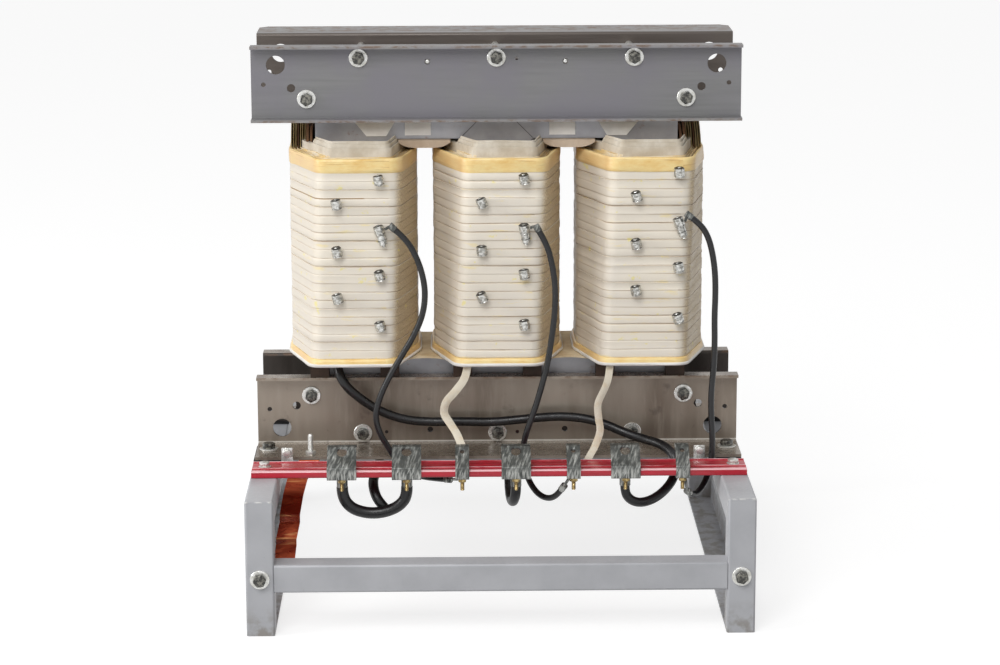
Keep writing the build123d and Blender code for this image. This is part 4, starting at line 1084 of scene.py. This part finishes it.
def plain_tap():
    """A tap: one deep hexagonal nut with a dark disc on top as painted shade, a thin washer and a foot
    under it.
    """
    width = bpy.context.scene.transformer_fasteners.tap_width
    nut = tap_nut("nut", width, -0.0058, 0.0052, 0.3)
    # painted shade: a dark disc over the nut's top face
    cap = drum("cap", 6, width / math.sqrt(3) * 0.90, 0.0053, 0.0057, 0.3)
    cap.data.materials.append(finish("tap_top_shade"))
    washer = lathe("washer", [(0, -0.0072), (0.0066, -0.0072), (0.0070, -0.0068), (0.0070, -0.0062),
                              (0.0066, -0.0058), (0, -0.0058)])
    end = lathe("end", [(0, 0.0054), (0.0024, 0.0054), (0.0026, 0.0062), (0.0022, 0.0068), (0, 0.0070)], 16)
    foot = lathe("foot", [(0, -0.0092), (0.0026, -0.0090), (0.0030, -0.0084), (0.0030, -0.0070),
                          (0, -0.0070)], 16)
    for part in (nut, washer, end, foot):
        part.data.materials.append(finish("tap_metal"))
    return joined("plain_tap", [nut, washer, end, foot, cap])


def cabled_tap():
    """A tap that carries a lead: a bright barrel and a second nut under the first."""
    width = bpy.context.scene.transformer_fasteners.tap_width
    parts = [plain_tap(),
             lathe("barrel", [(0, -0.0150), (0.0054, -0.0149), (0.0060, -0.0143), (0.0060, -0.0078),
                              (0.0054, -0.0072), (0, -0.0070)]),
             lathe("rim", [(0, -0.0160), (0.0064, -0.0160), (0.0064, -0.0150), (0, -0.0150)]),
             tap_nut("lower", width * 0.78, -0.0215, -0.0160, 0.2),
             lathe("stud", [(0, -0.0250), (0.0020, -0.0248), (0.0026, -0.0242), (0.0023, -0.0236),
                            (0.0026, -0.0230), (0.0023, -0.0224), (0.0026, -0.0218), (0.0026, -0.021),
                            (0, -0.021)], 16)]
    for part in parts[1:]:
        part.data.materials.append(finish("tap_metal"))
    return joined("cabled_tap", parts)


def tap_tab():
    """The flat strip that comes out between two turns and carries a tap."""
    tab = box("tab", (-0.0068, -0.0164, -0.0009), (0.0068, 0.0012, 0.0009))
    edit(tab, lambda edge: all(vertex.co.y < -0.016 for vertex in edge.verts)
         and abs(edge.verts[0].co.z - edge.verts[1].co.z) > 0.001, "EDGE")
    bpy.ops.mesh.bevel(offset=0.0055, segments=5)
    leave()
    return dress(soften(tab, 0.0003, 1), "tap_metal")


def tap_set(coil):
    """Seven taps in two columns up the front of a coil, each leaning its own way."""
    tab, plain, cabled = tap_tab(), plain_tap(), cabled_tap()
    shift_x, shift_z = TAP_SHIFTS[coil]
    parts = []
    for k, level in enumerate(TAP_LEVELS):
        x = COIL_X[coil] + TAP_COLUMNS[k % 2] + shift_x
        z = level + shift_z
        seat = Matrix.Translation((x, -HALF_DEPTH, z))
        lean = Matrix.Rotation(math.radians(11 + 4 * chance(k, COIL_X[coil] * 40, 1)), 4, "X")
        roll = Matrix.Rotation(math.radians(-7 + 5 * chance(k, COIL_X[coil] * 40, 4)), 4, "Y")
        spin = Matrix.Rotation(1.1 * k, 4, "Z")
        bolt_seat = Matrix.Translation((x, -HALF_DEPTH - TAP_REACH, z)) @ lean @ roll @ spin
        parts.append(copied(tab, "part", seat))
        parts.append(copied(cabled if k == CABLED_TAP else plain, "part", bolt_seat))
    piece = joined(coil + "_tap_set", parts)
    for spare in (tab, plain, cabled):
        bpy.data.objects.remove(spare)
    smooth(piece, 30)
    return deliver(piece, "tinned", coil + "_taps")


# ---------------------------------------------------------------- clamp and stand bolts
UPPER_TIE_Z, UPPER_CORNER_Z = 0.7395, 0.683
LOWER_TIE_Z, LOWER_CORNER_Z = 0.2075, 0.263
DOWEL_X, UPPER_DOWEL_Z, LOWER_DOWEL_Z = 0.095, 0.734, 0.212
PILOT_X, UPPER_PILOT_Z, LOWER_PILOT_Z = 0.028, 0.734, 0.208


def ring_washer(name, radius, sheet):
    return lathe(name, [(0, 0), (radius - 0.0004, 0), (radius, 0.0004), (radius, sheet - 0.0005),
                        (radius - 0.0006, sheet), (radius * 0.55, sheet), (0, sheet)], 40)


def bolt_head(name):
    """A bolt's head on its washer, standing up from its seat."""
    sizes = bpy.context.scene.transformer_fasteners
    sheet, top = sizes.washer_sheet, sizes.washer_sheet + sizes.head_height
    washer = ring_washer("washer", sizes.washer / 2, sheet)
    head = tap_nut("head", sizes.across_flats, sheet, top - 0.0005, 0.0)
    washer.data.materials.append(finish("zinc"))
    head.data.materials.append(finish("dark_head"))
    return joined(name, [head, washer])


def bolt_end(name, reach):
    """A nut on its washer with the threaded end of the bolt standing out of it."""
    sizes = bpy.context.scene.transformer_fasteners
    sheet = sizes.washer_sheet
    washer = ring_washer("washer", sizes.washer / 2, sheet)
    nut = tap_nut("nut", sizes.across_flats, sheet, sheet + 0.0098, 0.4)
    radius, profile = 0.0058, [(0, sheet)]
    z = sheet + 0.001
    while z < sheet + reach - 0.0012:
        profile += [(radius, z), (radius - 0.0006, z + 0.0008)]
        z += 0.0016
    profile += [(radius - 0.001, sheet + reach - 0.0002), (0, sheet + reach)]
    thread = lathe("thread", profile, 20)
    for part in (washer, nut, thread):
        part.data.materials.append(finish("zinc"))
    return joined(name, [washer, nut, thread])


def clamp_bolt_set(name, node, tie_z, corner_z):
    """The five bolts through one pair of clamps: heads in front, nuts behind."""
    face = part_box("yoke_strips")[1][1] + 0.004
    outer = max(abs(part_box(node)[0][0]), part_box(node)[1][0])
    outer -= bpy.context.scene.transformer_fasteners.washer / 2
    pitch = COIL_X["right"] - 0.010
    head, end = bolt_head("head"), bolt_end("end", 0.016)
    parts = []
    for k, (x, z) in enumerate(((-pitch, tie_z), (0, tie_z), (pitch, tie_z), (-outer, corner_z),
                                (outer, corner_z))):
        turn = Matrix.Rotation(0.35 + 0.9 * k, 4, "Z")
        parts.append(copied(head, "part", facing_front(x, -face, z) @ turn))
        parts.append(copied(end, "part", facing_rear(x, face, z) @ turn))
        shank = drum("shank", 20, 0.0056, -face, face)
        shank.data.transform(facing_front(x, 0, z))
        shank.data.materials.append(finish("zinc"))
        parts.append(shank)
    piece = joined(name, parts)
    bpy.data.objects.remove(head)
    bpy.data.objects.remove(end)
    return deliver(smooth(piece, 30), "zinc", node)


def core_pins():
    """What shows in the clamps' small holes: domed pins above, core plugs below, and dark discs in the
    pilot holes as painted shade.
    """
    parts = []
    for x in (-DOWEL_X, DOWEL_X):
        dome = lathe("dome", [(0, 0), (0.0037, 0), (0.0038, 0.0012), (0.0028, 0.0022), (0.0014, 0.0027),
                              (0, 0.0028)])
        dome.data.transform(facing_front(x, -0.0656, UPPER_DOWEL_Z))
        dome.data.materials.append(finish("zinc"))
        plug = lathe("plug", [(0, -0.003), (0.0040, -0.003), (0.0041, 0), (0.0036, 0.0003), (0.0033, 0),
                              (0, 0)])
        plug.data.transform(facing_front(x, -0.0645, LOWER_DOWEL_Z))
        plug.data.materials.append(finish("lower_clamp_steel"))
        parts += [dome, plug]
    for x, z in ((PILOT_X, LOWER_PILOT_Z), (PILOT_X, UPPER_PILOT_Z)):
        # painted shade: dark discs stand for the dark inside of the pilot holes
        dark = drum("dark", 20, 0.0030, -0.001, 0.001)
        dark.data.transform(facing_front(x, -0.0648, z))
        dark.data.materials.append(finish("pilot_hole_shade"))
        parts.append(dark)
    return deliver(smooth(joined("core_pins", parts), 30), "zinc")


def stand_bolt_set():
    """The four bolts that hold the cross beams' tabs to the legs."""
    low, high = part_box("front_left_leg")
    x = (low[0] + high[0]) / 2
    z = (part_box("front_cross_beam")[0][2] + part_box("front_cross_beam")[1][2]) / 2
    head, end = bolt_head("head"), bolt_end("end", 0.013)
    parts = []
    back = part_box("front_cross_beam")[1][1]
    for k, side in enumerate(SIDES):
        turn = Matrix.Rotation(0.26 + 0.4 * k, 4, "Z")
        parts.append(copied(head, "part", facing_front(side * x, low[1], z) @ turn))
        parts.append(copied(end, "part", facing_rear(side * x, back - 0.0025, z) @ turn))
        parts.append(copied(head, "part", facing_rear(side * x, -low[1], z) @ turn))
        parts.append(copied(end, "part", facing_front(side * x, -back + 0.0025, z) @ turn))
    piece = joined("beam_bolt_set", parts)
    bpy.data.objects.remove(head)
    bpy.data.objects.remove(end)
    return deliver(smooth(piece, 30), "zinc", "beam_bolts")


def hold_down_set():
    """The bolts down through the lower clamps' flanges, and the grounding stud."""
    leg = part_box("front_left_leg")
    x = (leg[0][0] + leg[1][0]) / 2
    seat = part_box("lower_front_clamp")[0][2] + 0.004
    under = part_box("left_top_rail")[1][2] - 0.0025
    head, end = bolt_head("head"), bolt_end("end", 0.014)
    parts = []
    for k, side in enumerate(SIDES):
        for row in SIDES:
            place = Matrix.Translation((side * x, row * 0.106, seat))
            parts.append(copied(head, "part", place @ Matrix.Rotation(0.5 + k, 4, "Z")))
            below = Matrix.Translation((side * x, row * 0.106, under)) @ Matrix.Rotation(math.pi, 4, "X")
            parts.append(copied(end, "part", below))
            shank = drum("shank", 20, 0.0057, under, seat, 0, side * x, row * 0.106)
            shank.data.materials.append(finish("zinc"))
            parts.append(shank)
    ground_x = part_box("lower_front_clamp")[0][0] + 0.077
    profile, z = [(0, seat - 0.018)], seat - 0.0175
    while z < seat + 0.0285:
        profile += [(0.0039, z), (0.0034, z + 0.0006)]
        z += 0.00125
    profile += [(0.0026, seat + 0.0299), (0, seat + 0.030)]
    stud = lathe("stud", profile, 20)
    nut = tap_nut("nut", 0.013, seat, seat + 0.0062, 0.3)
    lower = tap_nut("lower", 0.013, seat - 0.0130, seat - 0.0058, 0.1)
    for part in (stud, nut, lower):
        part.data.transform(Matrix.Translation((ground_x, -0.138, 0)))
        part.data.materials.append(finish("zinc"))
        parts.append(part)
    piece = joined("hold_down_set", parts)
    bpy.data.objects.remove(head)
    bpy.data.objects.remove(end)
    return deliver(smooth(piece, 30), "zinc", "hold_down_bolts")


# ---------------------------------------------------------------- terminal bar
BAR_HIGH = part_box("terminal_bar")[1]
LUG_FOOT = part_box("wide_lugs")[0][2]
STUD_Y = -0.226
WIDE_X = (-0.215, -0.1265, 0.023, 0.1725)
NARROW_X = (-0.0505, 0.1015, 0.2505)


def brass_stud():
    """A brass bolt through the bar: slotted head on top, nut and threaded end below."""
    top = BAR_HIGH[2] - 0.0012
    head = tap_nut("head", 0.010, top, top + 0.0034, 0.2)
    nut = tap_nut("nut", 0.010, -0.0050, 0.0, 0.2)
    nut.data.transform(Matrix.Translation((0, 0, LUG_FOOT)))
    profile, z = [(0, LUG_FOOT - 0.017), (0.0024, LUG_FOOT - 0.0168)], LUG_FOOT - 0.0164
    while z < LUG_FOOT - 0.001:
        profile += [(0.0029, z), (0.0025, z + 0.0006)]
        z += 0.0012
    profile += [(0.0029, LUG_FOOT), (0.0029, top + 0.001), (0, top + 0.001)]
    return joined("brass_stud", [head, nut, lathe("thread", profile, 16)])


def stud_set():
    """One brass bolt for each lug along the bar."""
    stud = brass_stud()
    parts = []
    for k, x in enumerate(WIDE_X + NARROW_X):
        place = Matrix.Translation((x, STUD_Y, 0)) @ Matrix.Rotation(0.7 * k, 4, "Z")
        parts.append(copied(stud, "part", place))
    piece = joined("brass_stud_set", parts)
    bpy.data.objects.remove(stud)
    dress(smooth(piece, 30), "brass")
    return deliver(piece, "brass", "stud_bolts")


def bar_fastener_set():
    """The bolts at the bar's ends and the two small brackets on the flange's edge."""
    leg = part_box("front_left_leg")
    x = (leg[0][0] + leg[1][0]) / 2
    top = BAR_HIGH[2] - 0.0012
    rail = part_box("left_top_rail")[1][2] - 0.0025
    parts = []
    for side in SIDES:
        washer = ring_washer("washer", 0.0085, 0.0016)
        head = tap_nut("head", 0.013, 0.0016, 0.0068, 0.4)
        shank = drum("shank", 20, 0.0038, -0.018, 0.001)
        nut = tap_nut("nut", 0.013, rail - 0.006 - top, rail - top, 0.1)
        for part in (washer, head, shank, nut):
            part.data.transform(Matrix.Translation((side * x, -0.2035, top)))
        parts += [washer, head, shank, nut]
    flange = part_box("lower_front_clamp")
    edge, low = flange[0][1], flange[0][2]
    for place in (flange[0][0] + 0.045, flange[1][0] - 0.059):
        plate = box("plate", (place - 0.008, edge - 0.003, low - 0.003), (place + 0.008, edge, low + 0.018))
        soften(plate, 0.001)
        washer = ring_washer("washer", 0.0068, 0.0013)
        nut = tap_nut("nut", 0.011, 0.0013, 0.0062, 0.2)
        turn = facing_front(place, edge - 0.003, low + 0.011)
        for part in (washer, nut):
            part.data.transform(turn)
        parts += [plate, washer, nut]
    piece = joined("bar_fastener_set", parts)
    dress(smooth(piece, 30), "zinc")
    return deliver(piece, "zinc", "bar_fasteners")


# ---------------------------------------------------------------- leads
def route(*points):
    """Points given in millimetres, as metres."""
    return [tuple(value * MM for value in point) for point in points]


LEFT_LEAD = route(
    (-140, -166, 517), (-127, -168, 506), (-114, -168, 486), (-104, -169, 460), (-99, -168, 430),
    (-103, -169, 398), (-117, -168, 367), (-135, -169, 338), (-152, -170, 309), (-165, -170, 280),
    (-170, -168, 254), (-164, -165, 231), (-154, -163, 213), (-143, -163, 195), (-130, -168, 181),
    (-112, -181, 175), (-92, -195, 175), (-74, -208, 177))
MIDDLE_LEAD = route(
    (56, -166, 514), (66, -168, 497), (73, -168, 473), (78, -169, 441), (78, -168, 406),
    (74, -169, 370), (68, -170, 332), (59, -170, 296), (49, -169, 262), (39, -166, 234),
    (34, -163, 212), (34, -163, 191), (38, -168, 173), (46, -178, 157), (57, -189, 147),
    (69, -200, 146), (79, -209, 153), (85, -215, 163))
RIGHT_LEAD = route(
    (264, -164, 531), (277, -164, 521), (287, -164, 504), (293, -163, 482), (297, -162, 455),
    (298, -161, 424), (297, -160, 391), (298, -159, 356), (297, -158, 320), (294, -158, 287),
    (294, -160, 256), (296, -162, 226), (296, -163, 201), (293, -166, 180), (286, -174, 163),
    (277, -186, 152), (268, -197, 149), (262, -206, 155))
LV_BUNDLE = route(
    (-224, -96, 321), (-224, -96, 311), (-219, -104, 296), (-209, -105, 281), (-194, -101, 267),
    (-176, -95, 252), (-155, -91, 240), (-127, -90, 231), (-94, -89, 228), (-52, -90, 229),
    (-8, -89, 227), (40, -90, 232), (86, -91, 236), (124, -93, 233), (152, -98, 225), (178, -107, 215),
    (203, -119, 209), (225, -136, 207), (241, -158, 200), (246, -168, 184), (242, -177, 167),
    (229, -188, 153), (213, -198, 144), (197, -206, 141), (184, -210, 144), (175, -211, 152),
    (172.5, -211, 162), (172.5, -211, 168))
X0_X1_SLEEVE = route(
    (-215, -211, 168), (-215, -211, 154), (-204, -210, 138), (-187, -209, 131), (-169, -209, 129.5),
    (-151, -209, 133), (-136, -210, 141), (-126.5, -211, 154), (-126.5, -211, 168))
X1_TAIL = route(
    (-156, -193.4, 131), (-166, -193.4, 142), (-172, -186, 154), (-174, -173, 164), (-172, -156, 170),
    (-170, -135, 174), (-166, -112, 175), (-165, -90, 177), (-165, -69, 180.5), (-163, -53, 190),
    (-162, -46, 204), (-162, -46, 216))
X2_TAIL = route(
    (23, -211, 168), (23, -211, 156), (20, -203, 144), (18, -188, 139), (16, -172, 143),
    (15, -157, 154), (15, -139, 166), (16, -116, 173), (17, -91, 176), (18, -69, 180.5),
    (19, -53, 191), (20, -46, 204), (20, -46, 216))
H1_TAPE = route(
    (-42, -139, 321), (-47, -145, 303), (-60, -150, 286), (-72, -151, 272), (-75, -151, 256),
    (-67, -157, 243), (-58, -172, 232), (-51, -190.4, 219.5))
H2_TAPE = route(
    (155, -139, 321), (152, -147, 303), (147, -150, 289), (138, -150, 268), (139, -150, 247),
    (141, -151, 229), (134, -156, 209), (126, -168, 198), (120, -176.4, 189))


def cable(name, points, diameter):
    """A round cable along one smooth curve through its route."""
    curve = bpy.data.curves.new(name + "_run", "CURVE")
    curve.dimensions = "3D"
    spline = curve.splines.new("NURBS")
    spline.points.add(len(points) - 1)
    for place, point in zip(spline.points, points):
        place.co = (*point, 1.0)
    spline.order_u = 3
    spline.use_endpoint_u = True
    curve.resolution_u = 10
    curve.bevel_depth = diameter / 2
    curve.bevel_resolution = 6
    curve.use_fill_caps = True
    piece = bpy.data.objects.new(name + "_run", curve)
    bpy.context.collection.objects.link(piece)
    curve.materials.append(finish("black_cable"))
    deliver(piece, "black_cable", name)
    return piece


def tape(name, points, width, length):
    """A woven tape hanging through its route, twisting a little on the way down."""
    steps = 4
    deselect()
    rows = (len(points) - 1) * steps
    bpy.ops.mesh.primitive_grid_add(x_subdivisions=4, y_subdivisions=rows, size=2)
    piece = named(name + "_strip")
    spans = [Vector(point) for point in points]

    def spot(share):
        """A point on the smooth line through the route."""
        share = min(max(share, 0.0), 1.0) * (len(spans) - 1)
        k = min(int(share), len(spans) - 2)
        t = share - k
        a, b, c, d = (spans[max(k - 1, 0)], spans[k], spans[k + 1], spans[min(k + 2, len(spans) - 1)])
        return 0.5 * (2 * b + (c - a) * t + (2 * a - 5 * b + 4 * c - d) * t ** 2
                      + (3 * b - a - 3 * c + d) * t ** 3)

    places = []
    for vertex in piece.data.vertices:
        across, share = vertex.co.x / 2, (vertex.co.y + 1) / 2
        centre = spot(share)
        along = (spot(share + 0.01) - spot(share - 0.01)).normalized()
        twist = 0.5 * noise.noise(Vector((share * 3.1, width * 900, 0.4)))
        side = Vector((1, 0, 0)) - along * along.x
        side = (Matrix.Rotation(twist * math.sin(math.pi * share), 3, along) @ side).normalized()
        cup = along.cross(side) * width * 0.12 * (1 - 4 * across * across)
        places.append((across * width, share * length))
        vertex.co = centre + side * width * across + cup * math.sin(math.pi * share)
    layer = piece.data.uv_layers[0]
    layer.name = "UVMap"
    for loop in piece.data.loops:
        across, along = places[loop.vertex_index]
        layer.data[loop.index].uv = (along, across)
    pick(piece)
    thick = piece.modifiers.new("thickness", "SOLIDIFY")
    thick.thickness, thick.offset = 0.0007, 0.0
    bpy.ops.object.modifier_apply(modifier=thick.name)
    dress(smooth(piece, 60), "woven_tape")
    deliver(piece, "woven_tape", name)
    return piece


def crimp_sleeves():
    """The crimped barrels on the leads and under the lugs, with their tongues."""
    node = bpy.data.objects["crimp_lugs"]
    piece = node.copy()
    piece.data = node.data.copy()
    piece.name = piece.data.name = "crimp_set"
    bpy.context.collection.objects.link(piece)
    pick(piece)
    bpy.ops.object.mode_set(mode="EDIT")
    bpy.ops.mesh.select_all(action="SELECT")
    bpy.ops.mesh.remove_doubles(threshold=1e-5)
    leave()
    soften(piece, 0.0006, 2, 40)
    dress(smooth(piece, 35), "tinned")
    return deliver(piece, "tinned", "crimp_lugs")


# ---------------------------------------------------------------- frame nodes that keep their shape
NODE_FINISH = {
    "stand_paint": ("front_left_leg", "front_right_leg", "rear_left_leg", "rear_right_leg",
                    "left_top_rail", "right_top_rail", "left_floor_angle", "right_floor_angle",
                    "front_cross_beam", "rear_cross_beam"),
    "upper_clamp_steel": ("upper_front_clamp", "upper_rear_clamp"),
    "lower_clamp_steel": ("lower_front_clamp", "lower_rear_clamp"),
    "rubber": ("clamp_pads",),
    "core_steel": ("left_core_leg", "middle_core_leg", "right_core_leg", "upper_yoke", "lower_yoke"),
    "pressboard": ("yoke_strips",),
    # coil supports darkened as painted shade
    "support_shade_board": ("coil_supports",),
    "saddle_paper": ("lower_saddles",),
    "white_paper": ("yoke_wedges",),
    "inner_paper": ("left_inner_winding", "middle_inner_winding", "right_inner_winding"),
    "red_bar": ("terminal_bar",),
    "tinned": ("wide_lugs", "narrow_lugs"),
    "copper": ("ground_strap",),
}
NODE_EDGE = {"stand_paint": 0.0006, "upper_clamp_steel": 0.0006, "lower_clamp_steel": 0.0006,
             "red_bar": 0.0003, "tinned": 0.0005, "core_steel": 0.0002, "rubber": 0.0006,
             "inner_paper": 0.0005, "pressboard": 0.0004}


def finish_node(node, name):
    """Give a carried-over node its finish and take the razor edge off its corners."""
    piece = bpy.data.objects[node]
    piece.data.materials.clear()
    piece.data.materials.append(finish(name))
    if name in NODE_EDGE:
        weld = piece.modifiers.new("merge", "WELD")
        weld.merge_threshold = 0.00001
        if "clamp" in name:
            flat = piece.modifiers.new("flat_faces", "DECIMATE")
            flat.decimate_type, flat.angle_limit = "DISSOLVE", math.radians(1)
        edge = piece.modifiers.new("edges", "BEVEL")
        edge.width, edge.segments = NODE_EDGE[name], 2
        edge.limit_method, edge.angle_limit = "ANGLE", math.radians(40)
        edge.use_clamp_overlap = True


# ---------------------------------------------------------------- stage
def make_stage():
    """A pale floor, soft lights and the camera."""
    settings = bpy.context.scene.transformer_stage
    scene = bpy.context.scene
    deselect()
    bpy.ops.mesh.primitive_plane_add(size=60, location=(0, 0, -0.0002))
    floor = named("studio_floor")
    look = bpy.data.materials.new("studio_floor")
    look.use_nodes = True
    nodes, links = look.node_tree.nodes, look.node_tree.links
    nodes.clear()
    output = nodes.new("ShaderNodeOutputMaterial")
    both, matt, glow = (nodes.new(kind) for kind in ("ShaderNodeAddShader", "ShaderNodeBsdfDiffuse",
                                                     "ShaderNodeEmission"))
    matt.inputs["Color"].default_value = tuple(settings.floor)
    seen = seen_directly(nodes, links)
    lift = nodes.new("ShaderNodeMath")
    lift.operation = "MULTIPLY"
    lift.inputs[1].default_value = 0.72
    links.new(seen, lift.inputs[0])
    links.new(lift.outputs[0], glow.inputs["Strength"])
    links.new(matt.outputs[0], both.inputs[0])
    links.new(glow.outputs[0], both.inputs[1])
    links.new(both.outputs[0], output.inputs[0])
    floor.data.materials.append(look)

    world = bpy.data.worlds.new("studio")
    scene.world = world
    world.use_nodes = True
    nodes, links = world.node_tree.nodes, world.node_tree.links
    nodes.clear()
    output = nodes.new("ShaderNodeOutputWorld")
    sky, white, both = (nodes.new(kind) for kind in ("ShaderNodeBackground", "ShaderNodeBackground",
                                                     "ShaderNodeMixShader"))
    ways, parts, tilt = (nodes.new(kind) for kind in ("ShaderNodeTexCoord", "ShaderNodeSeparateXYZ",
                                                      "ShaderNodeMapRange"))
    links.new(ways.outputs["Generated"], parts.inputs[0])
    links.new(parts.outputs["X"], tilt.inputs["Value"])
    for key, number in (("From Min", -1.0), ("From Max", 1.0), ("To Min", settings.sky * 1.45),
                        ("To Max", settings.sky * 0.5)):
        tilt.inputs[key].default_value = number
    links.new(tilt.outputs["Result"], sky.inputs["Strength"])
    white.inputs["Strength"].default_value = 1.0
    links.new(seen_directly(nodes, links), both.inputs[0])
    links.new(sky.outputs[0], both.inputs[1])
    links.new(white.outputs[0], both.inputs[2])
    links.new(both.outputs[0], output.inputs[0])

    for name, place, power, size in (("key_light", (-1.0, -3.4, 3.2), settings.key, 2.2),
                                     ("side_light", (-3.6, -1.2, 1.6), settings.side, 1.8)):
        deselect()
        bpy.ops.object.light_add(type="AREA", location=place)
        lamp = bpy.context.object
        lamp.name = lamp.data.name = name
        lamp.data.energy, lamp.data.size = power, size
        aim = Vector((0, 0, 0.4)) - Vector(place)
        lamp.rotation_euler = aim.to_track_quat("-Z", "Y").to_euler()

    deselect()
    bpy.ops.object.camera_add()
    camera = bpy.context.object
    camera.name = camera.data.name = "studio_camera"
    right = Vector((0.999869, -0.015926, -0.002831))
    up = Vector((0.006206, 0.216012, 0.976371))
    ahead = Vector((0.014938, 0.976261, -0.216082))
    place = Matrix((right, up, -ahead)).transposed().to_4x4()
    place.translation = (-0.059158, -4.189137, 1.263591)
    camera.matrix_world = place
    camera.data.sensor_width = 36.0
    camera.data.lens = 108.235
    camera.data.clip_end = 200.0
    scene.camera = camera
    scene.view_settings.view_transform = "Standard"


def seen_directly(nodes, links):
    """One where a camera, mirror or glass ray looks, else zero."""
    path = nodes.new("ShaderNodeLightPath")
    total = path.outputs["Is Camera Ray"]
    for other in ("Is Glossy Ray", "Is Transmission Ray"):
        most = nodes.new("ShaderNodeMath")
        most.operation = "MAXIMUM"
        links.new(total, most.inputs[0])
        links.new(path.outputs[other], most.inputs[1])
        total = most.outputs[0]
    return total


# ---------------------------------------------------------------- operators
class TRANSFORMER_OT_frame(Operator):
    """Finish the stand, clamps, core, bar and lugs that keep their modelled shape"""
    bl_idname = "transformer.frame"
    bl_label = "Finish Frame"

    def execute(self, context):
        for name, nodes in NODE_FINISH.items():
            for node in nodes:
                finish_node(node, name)
        return {"FINISHED"}


class TRANSFORMER_OT_windings(Operator):
    """Wind the three outer coils turn by turn"""
    bl_idname = "transformer.windings"
    bl_label = "Wind Coils"

    def execute(self, context):
        for coil in COILS:
            outer_winding(coil)
        return {"FINISHED"}


class TRANSFORMER_OT_collars(Operator):
    """Bind the tape collars and paper layers at the ends of the coils"""
    bl_idname = "transformer.collars"
    bl_label = "Bind Collars"

    def execute(self, context):
        for coil in COILS:
            top_collar(coil)
            bottom_collar(coil)
            paper_layers(coil)
        end_fins()
        saddle_aprons()
        return {"FINISHED"}


class TRANSFORMER_OT_taps(Operator):
    """Set the seven taps on the front of each coil"""
    bl_idname = "transformer.taps"
    bl_label = "Set Taps"

    def execute(self, context):
        for coil in COILS:
            tap_set(coil)
        return {"FINISHED"}


class TRANSFORMER_OT_bolts(Operator):
    """Put in the bolts of the clamps and the stand"""
    bl_idname = "transformer.bolts"
    bl_label = "Fit Bolts"

    def execute(self, context):
        clamp_bolt_set("upper_bolt_set", "upper_clamp_bolts", UPPER_TIE_Z, UPPER_CORNER_Z)
        clamp_bolt_set("lower_bolt_set", "lower_clamp_bolts", LOWER_TIE_Z, LOWER_CORNER_Z)
        core_pins()
        stand_bolt_set()
        hold_down_set()
        return {"FINISHED"}


class TRANSFORMER_OT_terminals(Operator):
    """Put in the bolts of the terminal bar"""
    bl_idname = "transformer.terminals"
    bl_label = "Fit Terminals"

    def execute(self, context):
        stud_set()
        bar_fastener_set()
        crimp_sleeves()
        return {"FINISHED"}


class TRANSFORMER_OT_leads(Operator):
    """Lay the tap leads, the low voltage bundle and the sleeves"""
    bl_idname = "transformer.leads"
    bl_label = "Lay Leads"

    def execute(self, context):
        sizes = context.scene.transformer_leads
        cable("left_lead", LEFT_LEAD, sizes.lead)
        cable("middle_lead", MIDDLE_LEAD, sizes.lead)
        cable("right_lead", RIGHT_LEAD, sizes.lead)
        cable("lv_bundle", LV_BUNDLE, sizes.bundle)
        cable("x0_x1_sleeve", X0_X1_SLEEVE, sizes.sleeve)
        cable("x1_tail", X1_TAIL, sizes.tail)
        cable("x2_tail", X2_TAIL, sizes.tail)
        return {"FINISHED"}


class TRANSFORMER_OT_tapes(Operator):
    """Hang the two woven tapes from the coils to the bar"""
    bl_idname = "transformer.tapes"
    bl_label = "Hang Tapes"

    def execute(self, context):
        tape("h1_tape", H1_TAPE, 0.011, 0.148)
        tape("h2_tape", H2_TAPE, 0.010, 0.157)
        return {"FINISHED"}


class TRANSFORMER_OT_stage(Operator):
    """Set the floor, the lights and the camera"""
    bl_idname = "transformer.stage"
    bl_label = "Set Stage"

    def execute(self, context):
        make_stage()
        return {"FINISHED"}


STEPS = (TRANSFORMER_OT_stage, TRANSFORMER_OT_leads, TRANSFORMER_OT_tapes, TRANSFORMER_OT_frame,
         TRANSFORMER_OT_windings, TRANSFORMER_OT_collars, TRANSFORMER_OT_taps, TRANSFORMER_OT_bolts,
         TRANSFORMER_OT_terminals)
GROUPS = {"transformer_coils": CoilSettings, "transformer_fasteners": FastenerSettings,
          "transformer_leads": LeadSettings, "transformer_stage": StageSettings}


class TRANSFORMER_PT_panel(Panel):
    """Settings and steps of the transformer"""
    bl_idname = "TRANSFORMER_PT_panel"
    bl_label = "Transformer"
    bl_space_type = "VIEW_3D"
    bl_region_type = "UI"
    bl_category = "Transformer"

    def draw(self, context):
        for group in GROUPS:
            settings = getattr(context.scene, group)
            box_layout = self.layout.box()
            for key in type(settings).__annotations__:
                box_layout.prop(settings, key)
        for step in STEPS:
            self.layout.operator(step.bl_idname)


CLASSES = tuple(GROUPS.values()) + STEPS + (TRANSFORMER_PT_panel,)


def register():
    for item in CLASSES:
        bpy.utils.register_class(item)
    for name, group in GROUPS.items():
        setattr(bpy.types.Scene, name, PointerProperty(type=group))


def unregister():
    for name in GROUPS:
        delattr(bpy.types.Scene, name)
    for item in reversed(CLASSES):
        bpy.utils.unregister_class(item)


def main():
    register()
    for step in STEPS:
        group, name = step.bl_idname.split(".")
        getattr(getattr(bpy.ops, group), name)()


if __name__ == "__main__":
    main()
